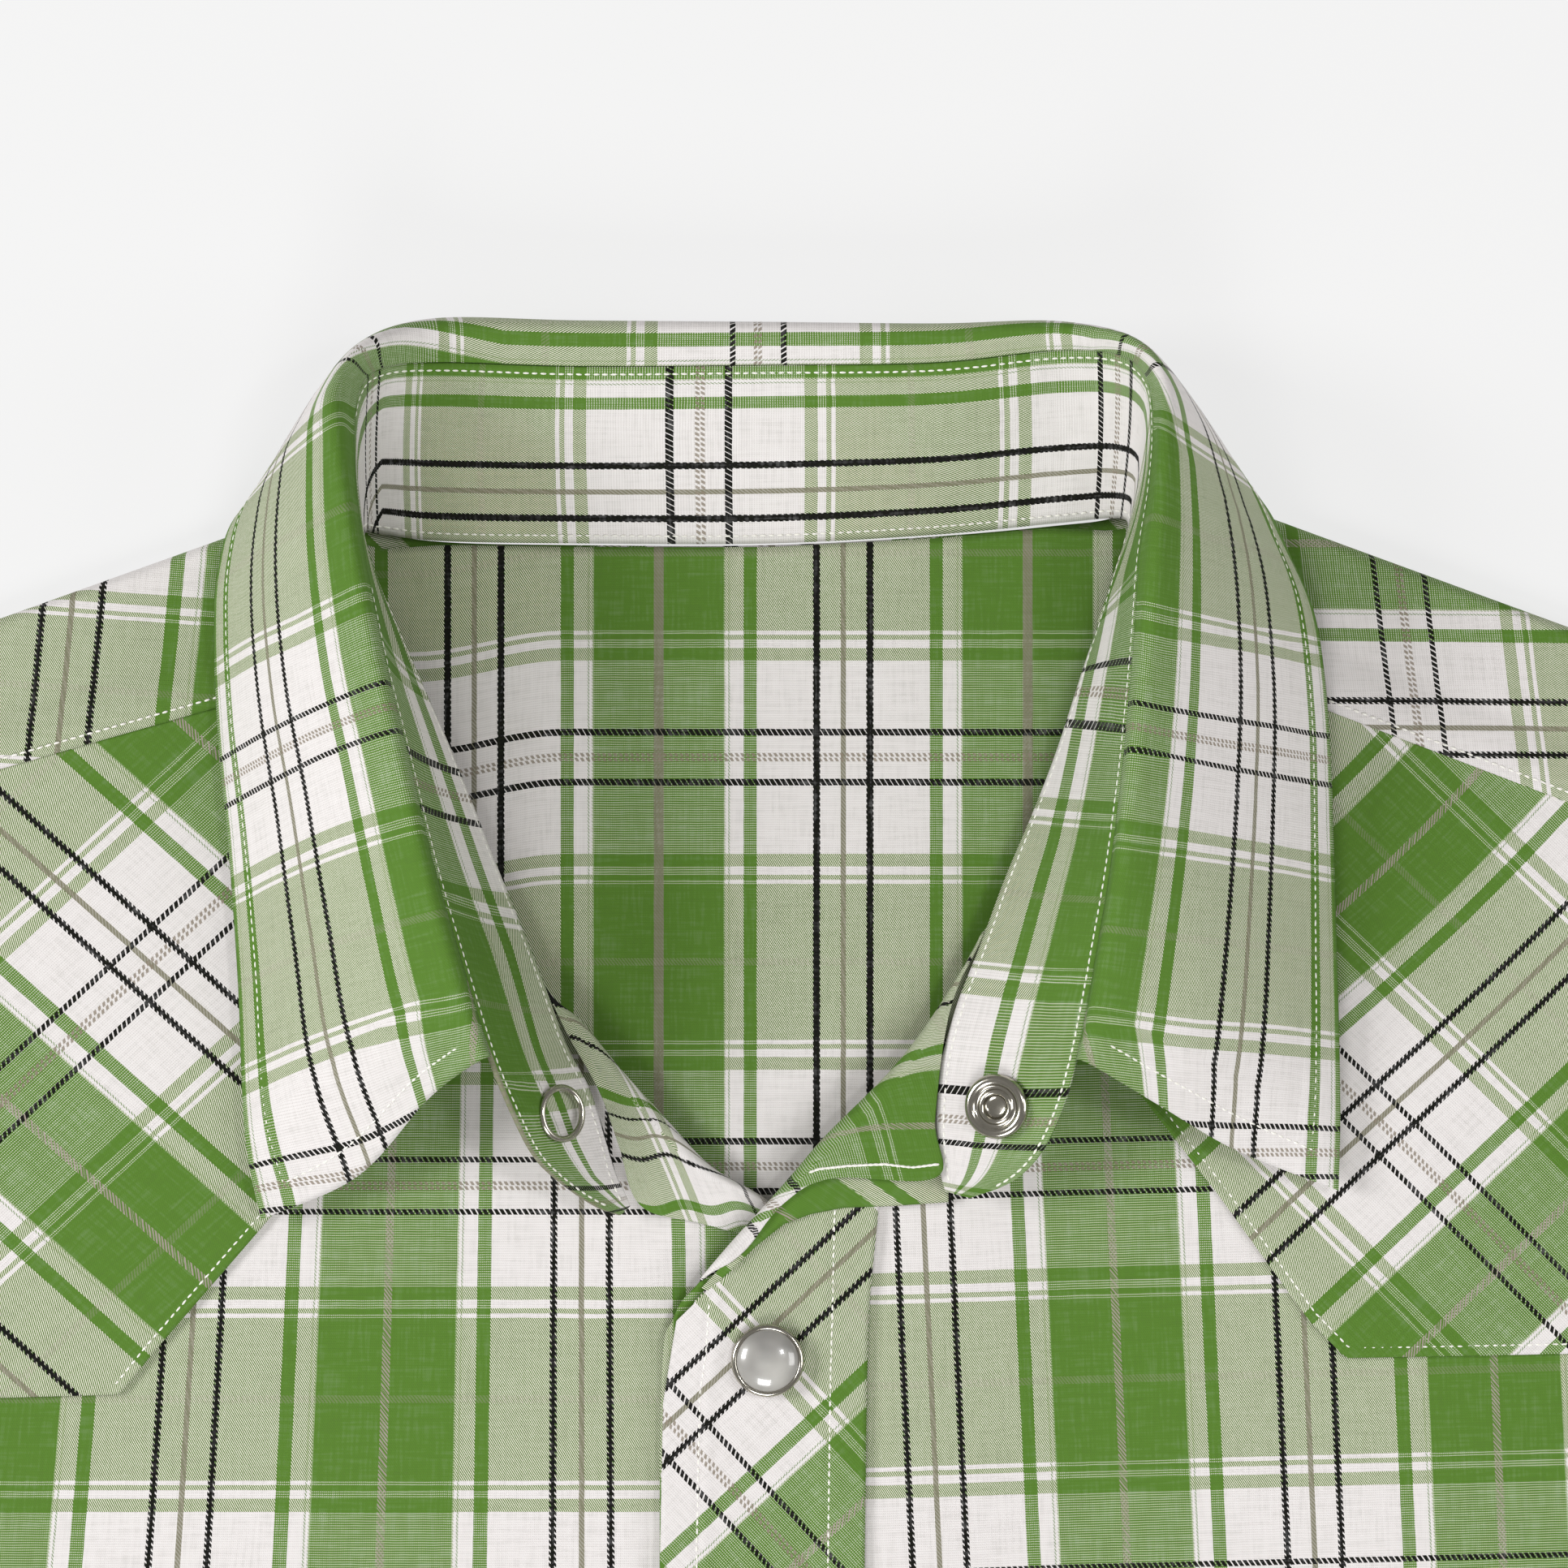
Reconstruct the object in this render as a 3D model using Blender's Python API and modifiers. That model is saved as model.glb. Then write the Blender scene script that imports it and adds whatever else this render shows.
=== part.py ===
"""A western snap shirt with short sleeves, laid flat on its back with the collar standing open.

Sizes are in millimetres, with x to the right, y towards the collar and z up from the surface it lies on. The
point (0, 0) is the back neck seam. Names say right and left as the wearer does, so right is at -x. Each piece
is a sheet through its middle surface, which Solidify makes a wall.
"""

import math
from collections import namedtuple

import bmesh
import bpy
from mathutils import Matrix, Vector

MM = 0.001
CLOTH = 1.0                      # wall of one layer
GAP = 0.3                        # between two layers
LAYER = CLOTH + GAP
NECK_TO_CENTRE = 354.7           # from the back neck seam to the middle of the shirt's length
BACK_LENGTH = 750.0              # back neck seam to the hem's lowest point
TAIL_RISE = 110.0                # how far the hem rises to the side seams
TAIL_HALF_WIDTH = 270.0
SHOULDER_TIP = (225.0, -44.0)
YOKE_POINT, YOKE_SIDE = -185.0, -146.0   # back yoke's lower edge, at the middle and at the armholes
YOKE_HALF_WIDTH = 212.0
YOKE_RAMP = 7.0                  # over this the back comes down from the yoke to the surface
SNAP_FIRST, SNAP_PITCH, SNAP_COUNT = -151.9, 88.0, 7
CAP_RADIUS, CAP_HEIGHT = 6.8, 3.2
RING_RADIUS, RING_WIRE = 5.2, 0.65
SOCKET_RADIUS, SOCKET_HOLE, SOCKET_HEIGHT = 5.6, 2.2, 1.6
SLEEVE_LIFT = 3.6                # middle of the sleeve's upper layer

GREEN = (0.30, 0.50, 0.16)
PALE = (0.55, 0.66, 0.46)
WHITE = (0.80, 0.79, 0.78)
METAL = (0.70, 0.70, 0.69)
PEARL = (0.80, 0.80, 0.78)

# The stand: where its lower edge meets the neck and where the fall is sewn to its upper edge.
Stand = namedtuple("Stand", "lower upper")
STAND = [
    Stand((-25.6, -123.4, 8.0), (-27.4, -125.0, 9.0)),
    Stand((-26.6, -121.0, 8.0), (-31.5, -123.4, 11.0)),
    Stand((-28.4, -117.2, 8.0), (-37.0, -119.4, 15.0)),
    Stand((-30.6, -109.6, 8.0), (-42.3, -114.0, 20.0)),
    Stand((-33.4, -101.4, 8.5), (-46.0, -106.4, 25.5)),
    Stand((-37.6, -93.4, 9.0), (-50.5, -94.7, 30.0)),
    Stand((-42.5, -80.2, 9.0), (-54.8, -79.9, 34.0)),
    Stand((-50.2, -61.3, 8.0), (-60.1, -61.0, 37.0)),
    Stand((-58.6, -40.0, 8.0), (-65.1, -39.5, 39.0)),
    Stand((-65.4, -24.4, 8.0), (-69.8, -19.5, 40.0)),
    Stand((-71.6, -10.0, 8.0), (-73.8, 2.0, 38.0)),
    Stand((-74.6, -2.2, 8.0), (-75.2, 18.0, 33.0)),
    Stand((-75.0, 1.8, 7.6), (-74.1, 27.2, 29.0)),
    Stand((-71.4, 1.6, 6.0), (-70.0, 31.0, 24.0)),
    Stand((-60.5, 0.4, 4.6), (-59.6, 32.1, 19.6)),
    Stand((-34.0, 0.0, 3.8), (-34.0, 31.5, 17.5)),
    Stand((0.0, 0.0, 3.7), (0.0, 31.8, 17.0)),
    Stand((30.8, 1.6, 3.8), (30.5, 32.2, 17.5)),
    Stand((53.4, 3.7, 4.6), (52.7, 34.3, 19.5)),
    Stand((63.9, 4.6, 6.0), (64.2, 33.4, 23.6)),
    Stand((67.2, 3.6, 7.6), (69.3, 28.9, 28.0)),
    Stand((66.4, -0.8, 8.0), (70.3, 20.0, 33.0)),
    Stand((64.8, -5.6, 8.0), (69.4, 9.0, 36.5)),
    Stand((62.2, -14.0, 8.0), (67.3, -4.0, 39.0)),
    Stand((58.8, -24.0, 8.0), (66.3, -19.0, 39.0)),
    Stand((54.0, -38.8, 8.0), (64.8, -37.4, 38.0)),
    Stand((49.5, -50.5, 8.0), (63.5, -50.0, 36.5)),
    Stand((44.4, -62.4, 8.6), (62.1, -62.4, 33.0)),
    Stand((39.6, -75.0, 10.0), (60.2, -75.0, 29.0)),
    Stand((35.3, -85.8, 10.0), (58.6, -85.4, 25.0)),
    Stand((32.4, -96.2, 10.0), (56.7, -95.6, 21.5)),
    Stand((31.4, -106.0, 10.0), (53.9, -105.6, 18.5)),
    Stand((31.5, -113.0, 10.0), (49.9, -113.8, 15.6)),
    Stand((32.1, -117.4, 10.0), (44.6, -118.8, 13.4)),
    Stand((33.0, -120.4, 10.0), (37.4, -121.6, 11.4)),
]
FALL_FIRST, FALL_LAST = 5, 30    # rows of STAND between which the fall is sewn on

# The fall: the crest of its roll, two points down its outer side and its free edge, a row for each of those rows.
Fall = namedtuple("Fall", "crest upper lower edge")
FALL = [
    Fall((-52.4, -95.4, 32.4), (-62.0, -102.6, 21.0), (-75.6, -117.4, 11.4), (-93.8, -125.9, 8.2)),
    Fall((-57.2, -81.0, 37.2), (-70.0, -89.0, 28.0), (-83.6, -99.6, 17.4), (-96.6, -110.0, 8.2)),
    Fall((-62.4, -61.4, 40.6), (-74.0, -67.0, 32.0), (-86.4, -74.0, 20.6), (-97.8, -82.0, 8.2)),
    Fall((-67.4, -39.6, 42.8), (-78.4, -44.0, 34.0), (-89.4, -50.0, 22.0), (-99.6, -56.0, 8.2)),
    Fall((-71.9, -20.0, 43.8), (-82.6, -25.6, 34.6), (-92.4, -31.0, 22.4), (-101.4, -37.0, 8.2)),
    Fall((-75.8, 0.8, 43.2), (-85.6, -6.4, 33.6), (-94.4, -12.4, 21.6), (-102.2, -18.8, 7.8)),
    Fall((-77.9, 16.9, 40.6), (-86.4, 9.0, 31.0), (-94.8, 0.8, 18.6), (-101.6, -6.0, 7.0)),
    Fall((-78.2, 26.8, 36.4), (-84.6, 20.6, 27.0), (-92.2, 11.6, 14.6), (-98.0, 5.0, 5.0)),
    Fall((-72.6, 35.2, 30.0), (-78.0, 31.6, 18.0), (-83.4, 23.4, 6.0), (-86.0, 14.0, 0.8)),
    Fall((-60.6, 39.2, 20.4), (-63.4, 38.4, 8.0), (-65.0, 25.0, 0.6), (-66.0, 7.6, 0.5)),
    Fall((-34.0, 39.2, 18.0), (-34.4, 37.6, 5.6), (-34.8, 24.0, 0.6), (-35.0, 4.6, 0.5)),
    Fall((0.0, 39.0, 17.6), (0.0, 37.4, 5.4), (0.0, 24.0, 0.6), (0.0, 4.6, 0.5)),
    Fall((30.5, 38.7, 18.0), (30.8, 37.4, 5.6), (31.0, 25.0, 0.6), (31.2, 6.2, 0.5)),
    Fall((53.0, 38.9, 20.2), (55.8, 38.2, 8.0), (57.2, 26.0, 0.6), (58.0, 9.4, 0.5)),
    Fall((66.2, 35.8, 28.6), (71.2, 32.6, 17.2), (76.4, 25.2, 5.4), (79.0, 16.6, 0.8)),
    Fall((72.2, 27.6, 35.8), (78.2, 21.8, 27.0), (86.0, 13.6, 14.0), (91.0, 7.8, 4.8)),
    Fall((72.2, 17.0, 40.4), (80.2, 9.6, 31.0), (89.6, 1.6, 18.6), (97.4, -5.0, 7.8)),
    Fall((71.4, 7.0, 42.6), (80.8, -0.6, 33.2), (91.0, -7.0, 21.4), (100.8, -13.4, 8.8)),
    Fall((70.2, -5.8, 43.8), (80.8, -12.0, 34.4), (92.0, -18.0, 22.4), (102.6, -24.0, 9.2)),
    Fall((69.0, -21.0, 43.0), (80.4, -26.6, 34.2), (92.6, -32.4, 22.4), (103.8, -38.4, 9.2)),
    Fall((67.2, -38.2, 41.8), (79.4, -43.6, 33.4), (92.2, -49.4, 22.0), (104.4, -55.4, 9.2)),
    Fall((65.8, -50.6, 40.2), (78.6, -56.0, 32.0), (92.0, -61.8, 21.2), (104.8, -67.8, 9.2)),
    Fall((64.4, -62.8, 37.0), (77.8, -68.4, 29.8), (91.8, -74.2, 20.0), (105.2, -80.4, 9.2)),
    Fall((62.6, -75.2, 32.8), (76.8, -82.0, 26.8), (91.6, -88.6, 18.4), (105.6, -95.4, 9.2)),
    Fall((61.0, -85.6, 28.6), (75.6, -93.6, 23.8), (90.6, -101.0, 16.0), (105.8, -108.6, 9.0)),
    Fall((59.0, -96.2, 24.8), (71.6, -103.8, 20.0), (86.4, -112.6, 12.6), (105.6, -120.4, 8.8)),
]

# The armhole from the shoulder's tip to the underarm, then the side seam, on the left; the right is its mirror.
ARMHOLE = [SHOULDER_TIP, (218.5, -66.0), (213.5, -92.0), (210.5, -122.0), (211.5, -150.0), (215.0, -168.0),
           (221.0, -188.0), (230.0, -206.0), (242.0, -224.0), (275.0, -252.0)]
SIDE_SEAM = [(273.0, -285.0), (266.0, -360.0), (262.0, -470.0), (266.0, -570.0), (270.0, -640.0)]

# Each front: its inner edge (neck seam, then the line where it rolls out, then the front edge) and how far
# down the armhole or side seam the same course of cloth ends.
Course = namedtuple("Course", "inner side")
FRONT_RIGHT = [
    Course((-69.4, -20.6), -63.6),
    Course((-60.0, -38.6), -92.0),
    Course((-51.4, -60.2), -122.0),
    Course((-42.0, -82.0), -150.0),
    Course((-34.6, -89.4), -168.0),
    Course((-27.6, -98.0), -188.0),
    Course((-19.6, -106.8), -206.0),
    Course((-10.8, -116.2), -224.0),
    Course((-0.4, -122.6), -240.0),
    Course((12.0, -133.0), -252.0),
    Course((17.6, -160.0), -285.0),
    Course((18.0, -250.0), -360.0),
    Course((18.0, -420.0), -470.0),
    Course((18.0, -600.0), -570.0),
    Course((18.0, -750.0), -640.0),
]
FRONT_LEFT = [
    Course((61.8, -14.6), -74.0),
    Course((54.6, -38.2), -98.0),
    Course((46.4, -59.2), -124.0),
    Course((40.2, -72.6), -148.0),
    Course((32.1, -86.2), -170.0),
    Course((23.6, -97.6), -190.0),
    Course((11.1, -110.2), -210.0),
    Course((0.6, -122.3), -226.0),
    Course((-6.4, -130.0), -239.0),
    Course((-12.6, -137.4), -252.0),
    Course((-17.4, -144.0), -270.0),
    Course((-19.8, -160.0), -290.0),
    Course((-20.0, -250.0), -360.0),
    Course((-20.0, -420.0), -470.0),
    Course((-20.0, -600.0), -570.0),
    Course((-20.0, -750.0), -640.0),
]
NECK_COURSE = 3                  # the course where the neck seam ends and the roll begins, on both fronts

# Where each turned-out corner ends, a row for each course from NECK_COURSE, and how high it lies there.
Turn = namedtuple("Turn", "edge height")
TURN_RIGHT = [
    Turn((-41.4, -82.6), 8.6),
    Turn((-37.0, -91.6), 9.0),
    Turn((-31.2, -102.0), 9.2),
    Turn((-27.6, -112.0), 9.0),
    Turn((-23.6, -123.2), 7.8),
    Turn((-12.0, -126.8), 6.2),
]
TURN_LEFT = [
    Turn((39.2, -73.4), 9.6),
    Turn((33.6, -87.6), 10.6),
    Turn((30.2, -106.0), 11.0),
    Turn((31.0, -121.4), 11.0),
    Turn((16.0, -123.0), 11.2),
    Turn((2.4, -125.6), 11.0),
]

# Front yokes: lower edge from the neck seam to the armhole.
FRONT_YOKE_RIGHT = [(-45.0, -74.4), (-73.3, -103.7), (-93.6, -127.1), (-113.9, -150.5), (-120.4, -158.6),
                    (-142.5, -159.2), (-172.0, -158.0), (-210.4, -136.0)]
FRONT_YOKE_LEFT = [(42.0, -69.6), (62.0, -93.6), (83.5, -121.2), (100.4, -144.6), (107.4, -151.8),
                   (148.6, -151.0), (178.0, -149.0), (210.0, -130.0)]

# Sleeves: how far down the armhole a course starts, and its share of the way along the plain hem.
SleeveCourse = namedtuple("SleeveCourse", "side share")
SLEEVE = [
    SleeveCourse(-44.0, 0.0),
    SleeveCourse(-92.0, 0.2),
    SleeveCourse(-122.0, 0.33),
    SleeveCourse(-150.0, 0.46),
    SleeveCourse(-188.0, 0.6),
    SleeveCourse(-224.0, 0.72),
    SleeveCourse(-252.0, 1.0),
]
SLEEVE_TOP, SLEEVE_UNDER = (422.0, -184.0), (316.0, -336.0)   # the hem's two ends
ARMHOLE_SEAM = 2.0               # between the body's edge and the sleeve's, across
STAND_SEAM = 1.5                 # between a front yoke's neck edge and the middle of the stand's wall


def smoothstep(t):
    t = min(max(t, 0.0), 1.0)
    return t * t * (3.0 - 2.0 * t)


def mix(a, b, t):
    return tuple(p + (q - p) * t for p, q in zip(a, b))


def curve(points, count):
    """The given number of points on a smooth curve through all of these, evenly along its rows."""
    points = [Vector(p) for p in points]
    last = len(points) - 1
    found = []
    for i in range(count):
        place = i * last / (count - 1)
        k = min(int(place), last - 1)
        t = place - k
        b, c = points[k], points[k + 1]
        a = points[k - 1] if k else b * 2 - c
        d = points[k + 2] if k + 2 <= last else c * 2 - b
        found.append(0.5 * (2 * b + (c - a) * t + (2 * a - 5 * b + 4 * c - d) * t * t
                            + (3 * b - a - 3 * c + d) * t ** 3))
    return found


def along(points, count, power=1.0):
    """Points by length along a plain polyline; a power over 1 sets them closer at its start."""
    points = [Vector(p) for p in points]
    steps = [(q - p).length for p, q in zip(points, points[1:])]
    total = sum(steps)
    found = []
    for i in range(count):
        left = total * (i / (count - 1)) ** power
        k = 0
        while k < len(steps) - 1 and left > steps[k]:
            left -= steps[k]
            k += 1
        found.append(points[k].lerp(points[k + 1], min(left / steps[k], 1.0)))
    return found


def distance_to(polyline, x, y):
    """Shortest way in the plane from a point to a polyline."""
    best = 1e9
    for (ax, ay), (bx, by) in zip(polyline, polyline[1:]):
        dx, dy = bx - ax, by - ay
        t = min(max(((x - ax) * dx + (y - ay) * dy) / (dx * dx + dy * dy), 0.0), 1.0)
        best = min(best, math.hypot(x - ax - dx * t, y - ay - dy * t))
    return best


def side_point(side, y):
    """The point of the armhole or the side seam at this height."""
    line = ARMHOLE + SIDE_SEAM
    for (ax, ay), (bx, by) in zip(line, line[1:]):
        if y >= by:
            return (side * (ax + (bx - ax) * min(max((ay - y) / (ay - by), 0.0), 1.0)), y)
    return (side * line[-1][0], y)


def hem_line(x):
    return -BACK_LENGTH + TAIL_RISE * min(abs(x / TAIL_HALF_WIDTH), 1.0) ** 3


def yoke_line(x):
    """Lower edge of the back yoke, a shallow point at the middle of the back."""
    share = abs(x) / YOKE_HALF_WIDTH
    return YOKE_POINT + (YOKE_SIDE - YOKE_POINT) * min(share, 1.0) ** 0.8


def back_height(x, y):
    """Middle of the back: on the yoke, and below it down on the surface."""
    return CLOTH / 2 + LAYER * smoothstep((y - yoke_line(x) + YOKE_RAMP) / YOKE_RAMP)


NECK_RIGHT = [(-77.0, 9.0), (-74.8, -1.0)] + [row.inner for row in FRONT_RIGHT[:NECK_COURSE + 6]]
NECK_LEFT = [(72.0, 12.0), (67.0, 0.0)] + [row.inner for row in FRONT_LEFT[:NECK_COURSE + 7]]


def body_height(x, y):
    """Middle of the upper side: clear of the back and its yoke, with the air that lies between the layers."""
    on_yoke = LAYER * smoothstep((y - YOKE_POINT + YOKE_RAMP + 150.0) / 150.0)
    air = 0.9 * smoothstep((215.0 - abs(x)) / 60.0)
    return CLOTH / 2 + on_yoke + LAYER + 0.1 + air


def right_height(x, y):
    """Middle of the right front, which rises to the neck seam and flattens under the left front."""
    rise = 0.3 + 2.7 * smoothstep((y + 124.0) / 40.0)
    return body_height(x, y) + rise * math.exp(-(distance_to(NECK_RIGHT, x, y) / 16.0) ** 2)


def left_height(x, y):
    """Middle of the left front, which lies over the right one."""
    over = 1.5 * smoothstep((62.0 - x) / 36.0)
    rise = 2.5 - 0.2 * smoothstep((y + 110.0) / 50.0)
    return body_height(x, y) + over + rise * math.exp(-(distance_to(NECK_LEFT, x, y) / 16.0) ** 2)


def material(name, colour, roughness, metallic=0.0):
    found = bpy.data.materials.get(name)
    if found:
        return found
    found = bpy.data.materials.new(name)
    found.use_nodes = True
    shader = found.node_tree.nodes["Principled BSDF"]
    shader.inputs["Base Color"].default_value = (*colour, 1.0)
    shader.inputs["Roughness"].default_value = roughness
    shader.inputs["Metallic"].default_value = metallic
    return found


def placed(point):
    """A point of the shirt's own millimetres, in metres about the middle of its underside."""
    return (point[0] * MM, (point[1] + NECK_TO_CENTRE) * MM, point[2] * MM)


def add_object(name, mesh, finish):
    mesh.materials.append(material(*finish))
    obj = bpy.data.objects.new(name, mesh)
    bpy.data.collections["western_snap_shirt"].objects.link(obj)
    return obj


def cloth(name, patches, finish, ring=False, wall=CLOTH):
    """One sheet of cloth: patches of rows of points sewn along the points they share, then given their wall."""
    shape = bmesh.new()
    for rows in patches:
        grid = [[shape.verts.new(placed(point)) for point in row] for row in rows]
        for first, second in zip(grid, grid[1:]):
            count = len(first)
            for i in range(count if ring else count - 1):
                j = (i + 1) % count
                shape.faces.new((first[i], first[j], second[j], second[i]))
    bmesh.ops.remove_doubles(shape, verts=shape.verts, dist=0.02 * MM)
    bmesh.ops.recalc_face_normals(shape, faces=shape.faces)
    mesh = bpy.data.meshes.new(name)
    shape.to_mesh(mesh)
    shape.free()
    mesh.shade_smooth()
    obj = add_object(name, mesh, finish)
    thick = obj.modifiers.new("wall", "SOLIDIFY")
    thick.thickness = wall * MM
    thick.offset = 0.0
    return obj


def turned(name, profile, place, axis, finish, steps=20):
    """A round piece: a profile of (radius, height) turned about an axis through a place."""
    closed = profile[0] == profile[-1]
    points = profile[:-1] if closed else profile
    mesh = bpy.data.meshes.new(name)
    edges = [(i, i + 1) for i in range(len(points) - 1)]
    if closed:
        edges.append((len(points) - 1, 0))
    mesh.from_pydata([(r * MM, 0.0, z * MM) for r, z in points], edges, [])
    obj = add_object(name, mesh, finish)
    obj.matrix_world = (Matrix.Translation(placed(place))
                        @ Vector(axis).to_track_quat("Z", "Y").to_matrix().to_4x4())
    screw = obj.modifiers.new("turn", "SCREW")
    screw.steps = screw.render_steps = steps
    screw.use_merge_vertices = True
    screw.merge_threshold = 0.000001
    screw.use_smooth_shade = True
    return obj


def stand_rows(count):
    """Points across the stand, from its lower to its upper edge, in rows along the neck."""
    lower = curve([row.lower for row in STAND], count)
    upper = curve([row.upper for row in STAND], count)
    rows = []
    for a, b in zip(lower, upper):
        bow = Vector((a.x + b.x, a.y + b.y + 70.0, 0.0)).normalized() * 0.02 * (b - a).length
        rows.append([a.lerp(b, t) + bow * math.sin(math.pi * t) for t in (0.0, 0.34, 0.67, 1.0)])
    return rows


def make_stand():
    cloth("collar_band", [stand_rows(2 * len(STAND) - 1)], ("stand", PALE, 0.85))


def make_fall():
    """The fall is sewn to the stand's upper edge, rises to its roll and turns down outside it."""
    sections = []
    for stand, fall in zip(STAND[FALL_FIRST:FALL_LAST + 1], FALL):
        upper, lower = Vector(stand.upper), Vector(stand.lower)
        seam = upper + (upper - lower).normalized() * (GAP + 0.5)
        sections.append([seam, fall.crest, fall.upper, fall.lower, fall.edge])
    count = 2 * len(sections) - 1
    courses = [curve([section[i] for section in sections], count) for i in range(5)]
    rows = []
    for points in zip(*courses):
        row = curve(points, 11)
        rows.append([(p.x, p.y, max(p.z, CLOTH / 2)) for p in row])
    cloth("collar_leaf", [rows], ("fall", PALE, 0.85))


def make_back_yoke():
    """One piece: on the surface behind the back, turned over both shoulders down to the fronts."""
    wings = {
        -1: ((-77.0, 9.0), (-74.9, 0.0), (-69.0, -20.0), -62.8),
        1: ((72.0, 12.0), (66.4, -1.0), (61.6, -13.8), -73.2),
    }
    patches, tops = [], []
    for side, (neck, middle, seam, seam_side) in wings.items():
        tip, end = side_point(side, SHOULDER_TIP[1]), side_point(side, seam_side)
        folds, uppers = [], []
        for i in range(12):
            t = i / 11
            fold, low = mix(neck, tip, t), mix(seam, end, t)
            half = mix(mix(middle, mix(tip, end, 0.5), t), mix(fold, low, 0.5), min(1.0, 4 * t))
            height = right_height if side < 0 else left_shoulder_height
            top = height(*half)
            radius = (top - CLOTH / 2) / 2
            towards = (Vector(low) - Vector(fold)).normalized()
            turn = []
            for angle in (-90, -45, 0, 45, 90):
                inward = radius * (1 - math.cos(math.radians(angle)))
                flat = Vector(fold) + towards * inward
                turn.append((flat.x, flat.y, CLOTH / 2 + radius * (1 + math.sin(math.radians(angle)))))
            folds.append(turn)
            uppers.append([turn[-1], (*half, top), (*low, height(*low))])
        patches += [folds, uppers]
        tops.append([turn[0] for turn in folds])
    right, left = tops
    neck_line = curve([right[0], (-73.0, 2.2, 0.5), (-60.5, 0.0, 0.5), (-34.0, -0.6, 0.5), (0.0, -0.6, 0.5),
                       (30.8, 1.0, 0.5), (53.4, 3.0, 0.5), (64.6, 4.6, 0.5), left[0]], 17)
    top_line = right[:0:-1] + [tuple(p) for p in neck_line] + left[1:]
    rows = []
    for k in range(5):
        share = (k / 4) ** 0.9
        row = []
        for x, y, z in top_line:
            low = yoke_line(x * YOKE_HALF_WIDTH / SHOULDER_TIP[0])
            level = SHOULDER_TIP[1] + (YOKE_SIDE - SHOULDER_TIP[1]) * share
            width = side_point(1, level)[0] / SHOULDER_TIP[0]
            row.append((x * width, y + (low - y) * share, CLOTH / 2))
        rows.append(row)
    cloth("back_yoke", patches + [rows], ("yoke", GREEN, 0.85))


def left_shoulder_height(x, y):
    """Middle of the upper layer over the left shoulder, which rises to the neck seam."""
    return body_height(x, y) + 3.0 * math.exp(-(distance_to(NECK_LEFT, x, y) / 16.0) ** 2)


def make_back():
    """The back reaches the neck seam inside the yoke, and lies on the surface below the yoke's point."""
    top = [(-222.0, -50.0), (-150.0, -25.6), (-104.0, -7.6), (-80.0, 1.0), (-72.0, -1.4), (-60.5, -0.6),
           (-34.0, -1.0), (0.0, -1.0), (30.8, 0.6), (53.4, 2.6), (64.0, 2.0), (76.0, 4.4), (100.0, -4.4),
           (150.0, -21.6), (222.0, -50.0)]
    columns = along([(*p, 0.0) for p in top], 41)
    span = top[-1][0]
    rows = []
    for level, drop in ((top[-1][1], 0.0), (-96.0, 0.33), (-122.0, 0.66)):
        row = []
        for p in columns:
            x = p.x * (side_point(1, level)[0] - 1.0) / span
            y = p.y + (yoke_line(x) + 1.0 - p.y) * drop
            row.append((x, y, back_height(x, y)))
        rows.append(row)
    for offset in (0.6, -YOKE_RAMP / 2, -YOKE_RAMP - 0.6):
        row = []
        for p in columns:
            x = p.x * (side_point(1, YOKE_SIDE + offset)[0] - 1.0) / span
            y = yoke_line(x) + offset
            row.append((x, y, back_height(x, y)))
        rows.append(row)
    start_side = YOKE_SIDE - YOKE_RAMP - 0.6
    for _, level in ARMHOLE[5:] + SIDE_SEAM:
        share = (start_side - level) / (start_side - SIDE_SEAM[-1][1])
        row = []
        for p in columns:
            x = p.x * side_point(1, level)[0] / span
            start = yoke_line(p.x) - YOKE_RAMP - 0.6
            row.append((x, start + (hem_line(x) - start) * share, CLOTH / 2))
        rows.append(row)
    cloth("back", [rows], ("back", GREEN, 0.85))


def course_rows(side, courses, per_course, across, height):
    """Rows of a front from its inner to its outer edge, closer together at the neck, and the inner points."""
    rows = []
    for k, (course, after) in enumerate(zip(courses, courses[1:])):
        steps = per_course if k < NECK_COURSE + 7 else 1
        for step in range(steps):
            rows.append(Course(mix(course.inner, after.inner, step / steps),
                               course.side + (after.side - course.side) * step / steps))
    rows.append(courses[-1])
    found = []
    for row in rows:
        points = []
        outer = side_point(side, row.side)
        tail = smoothstep((-row.inner[1] - 420.0) / (BACK_LENGTH - 420.0))
        for i in range(across):
            x, y = mix(row.inner, outer, (i / (across - 1)) ** 1.5)
            y += (hem_line(x) - y) * tail
            points.append((x, y, height(x, y)))
        found.append(points)
    return found, rows


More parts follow.
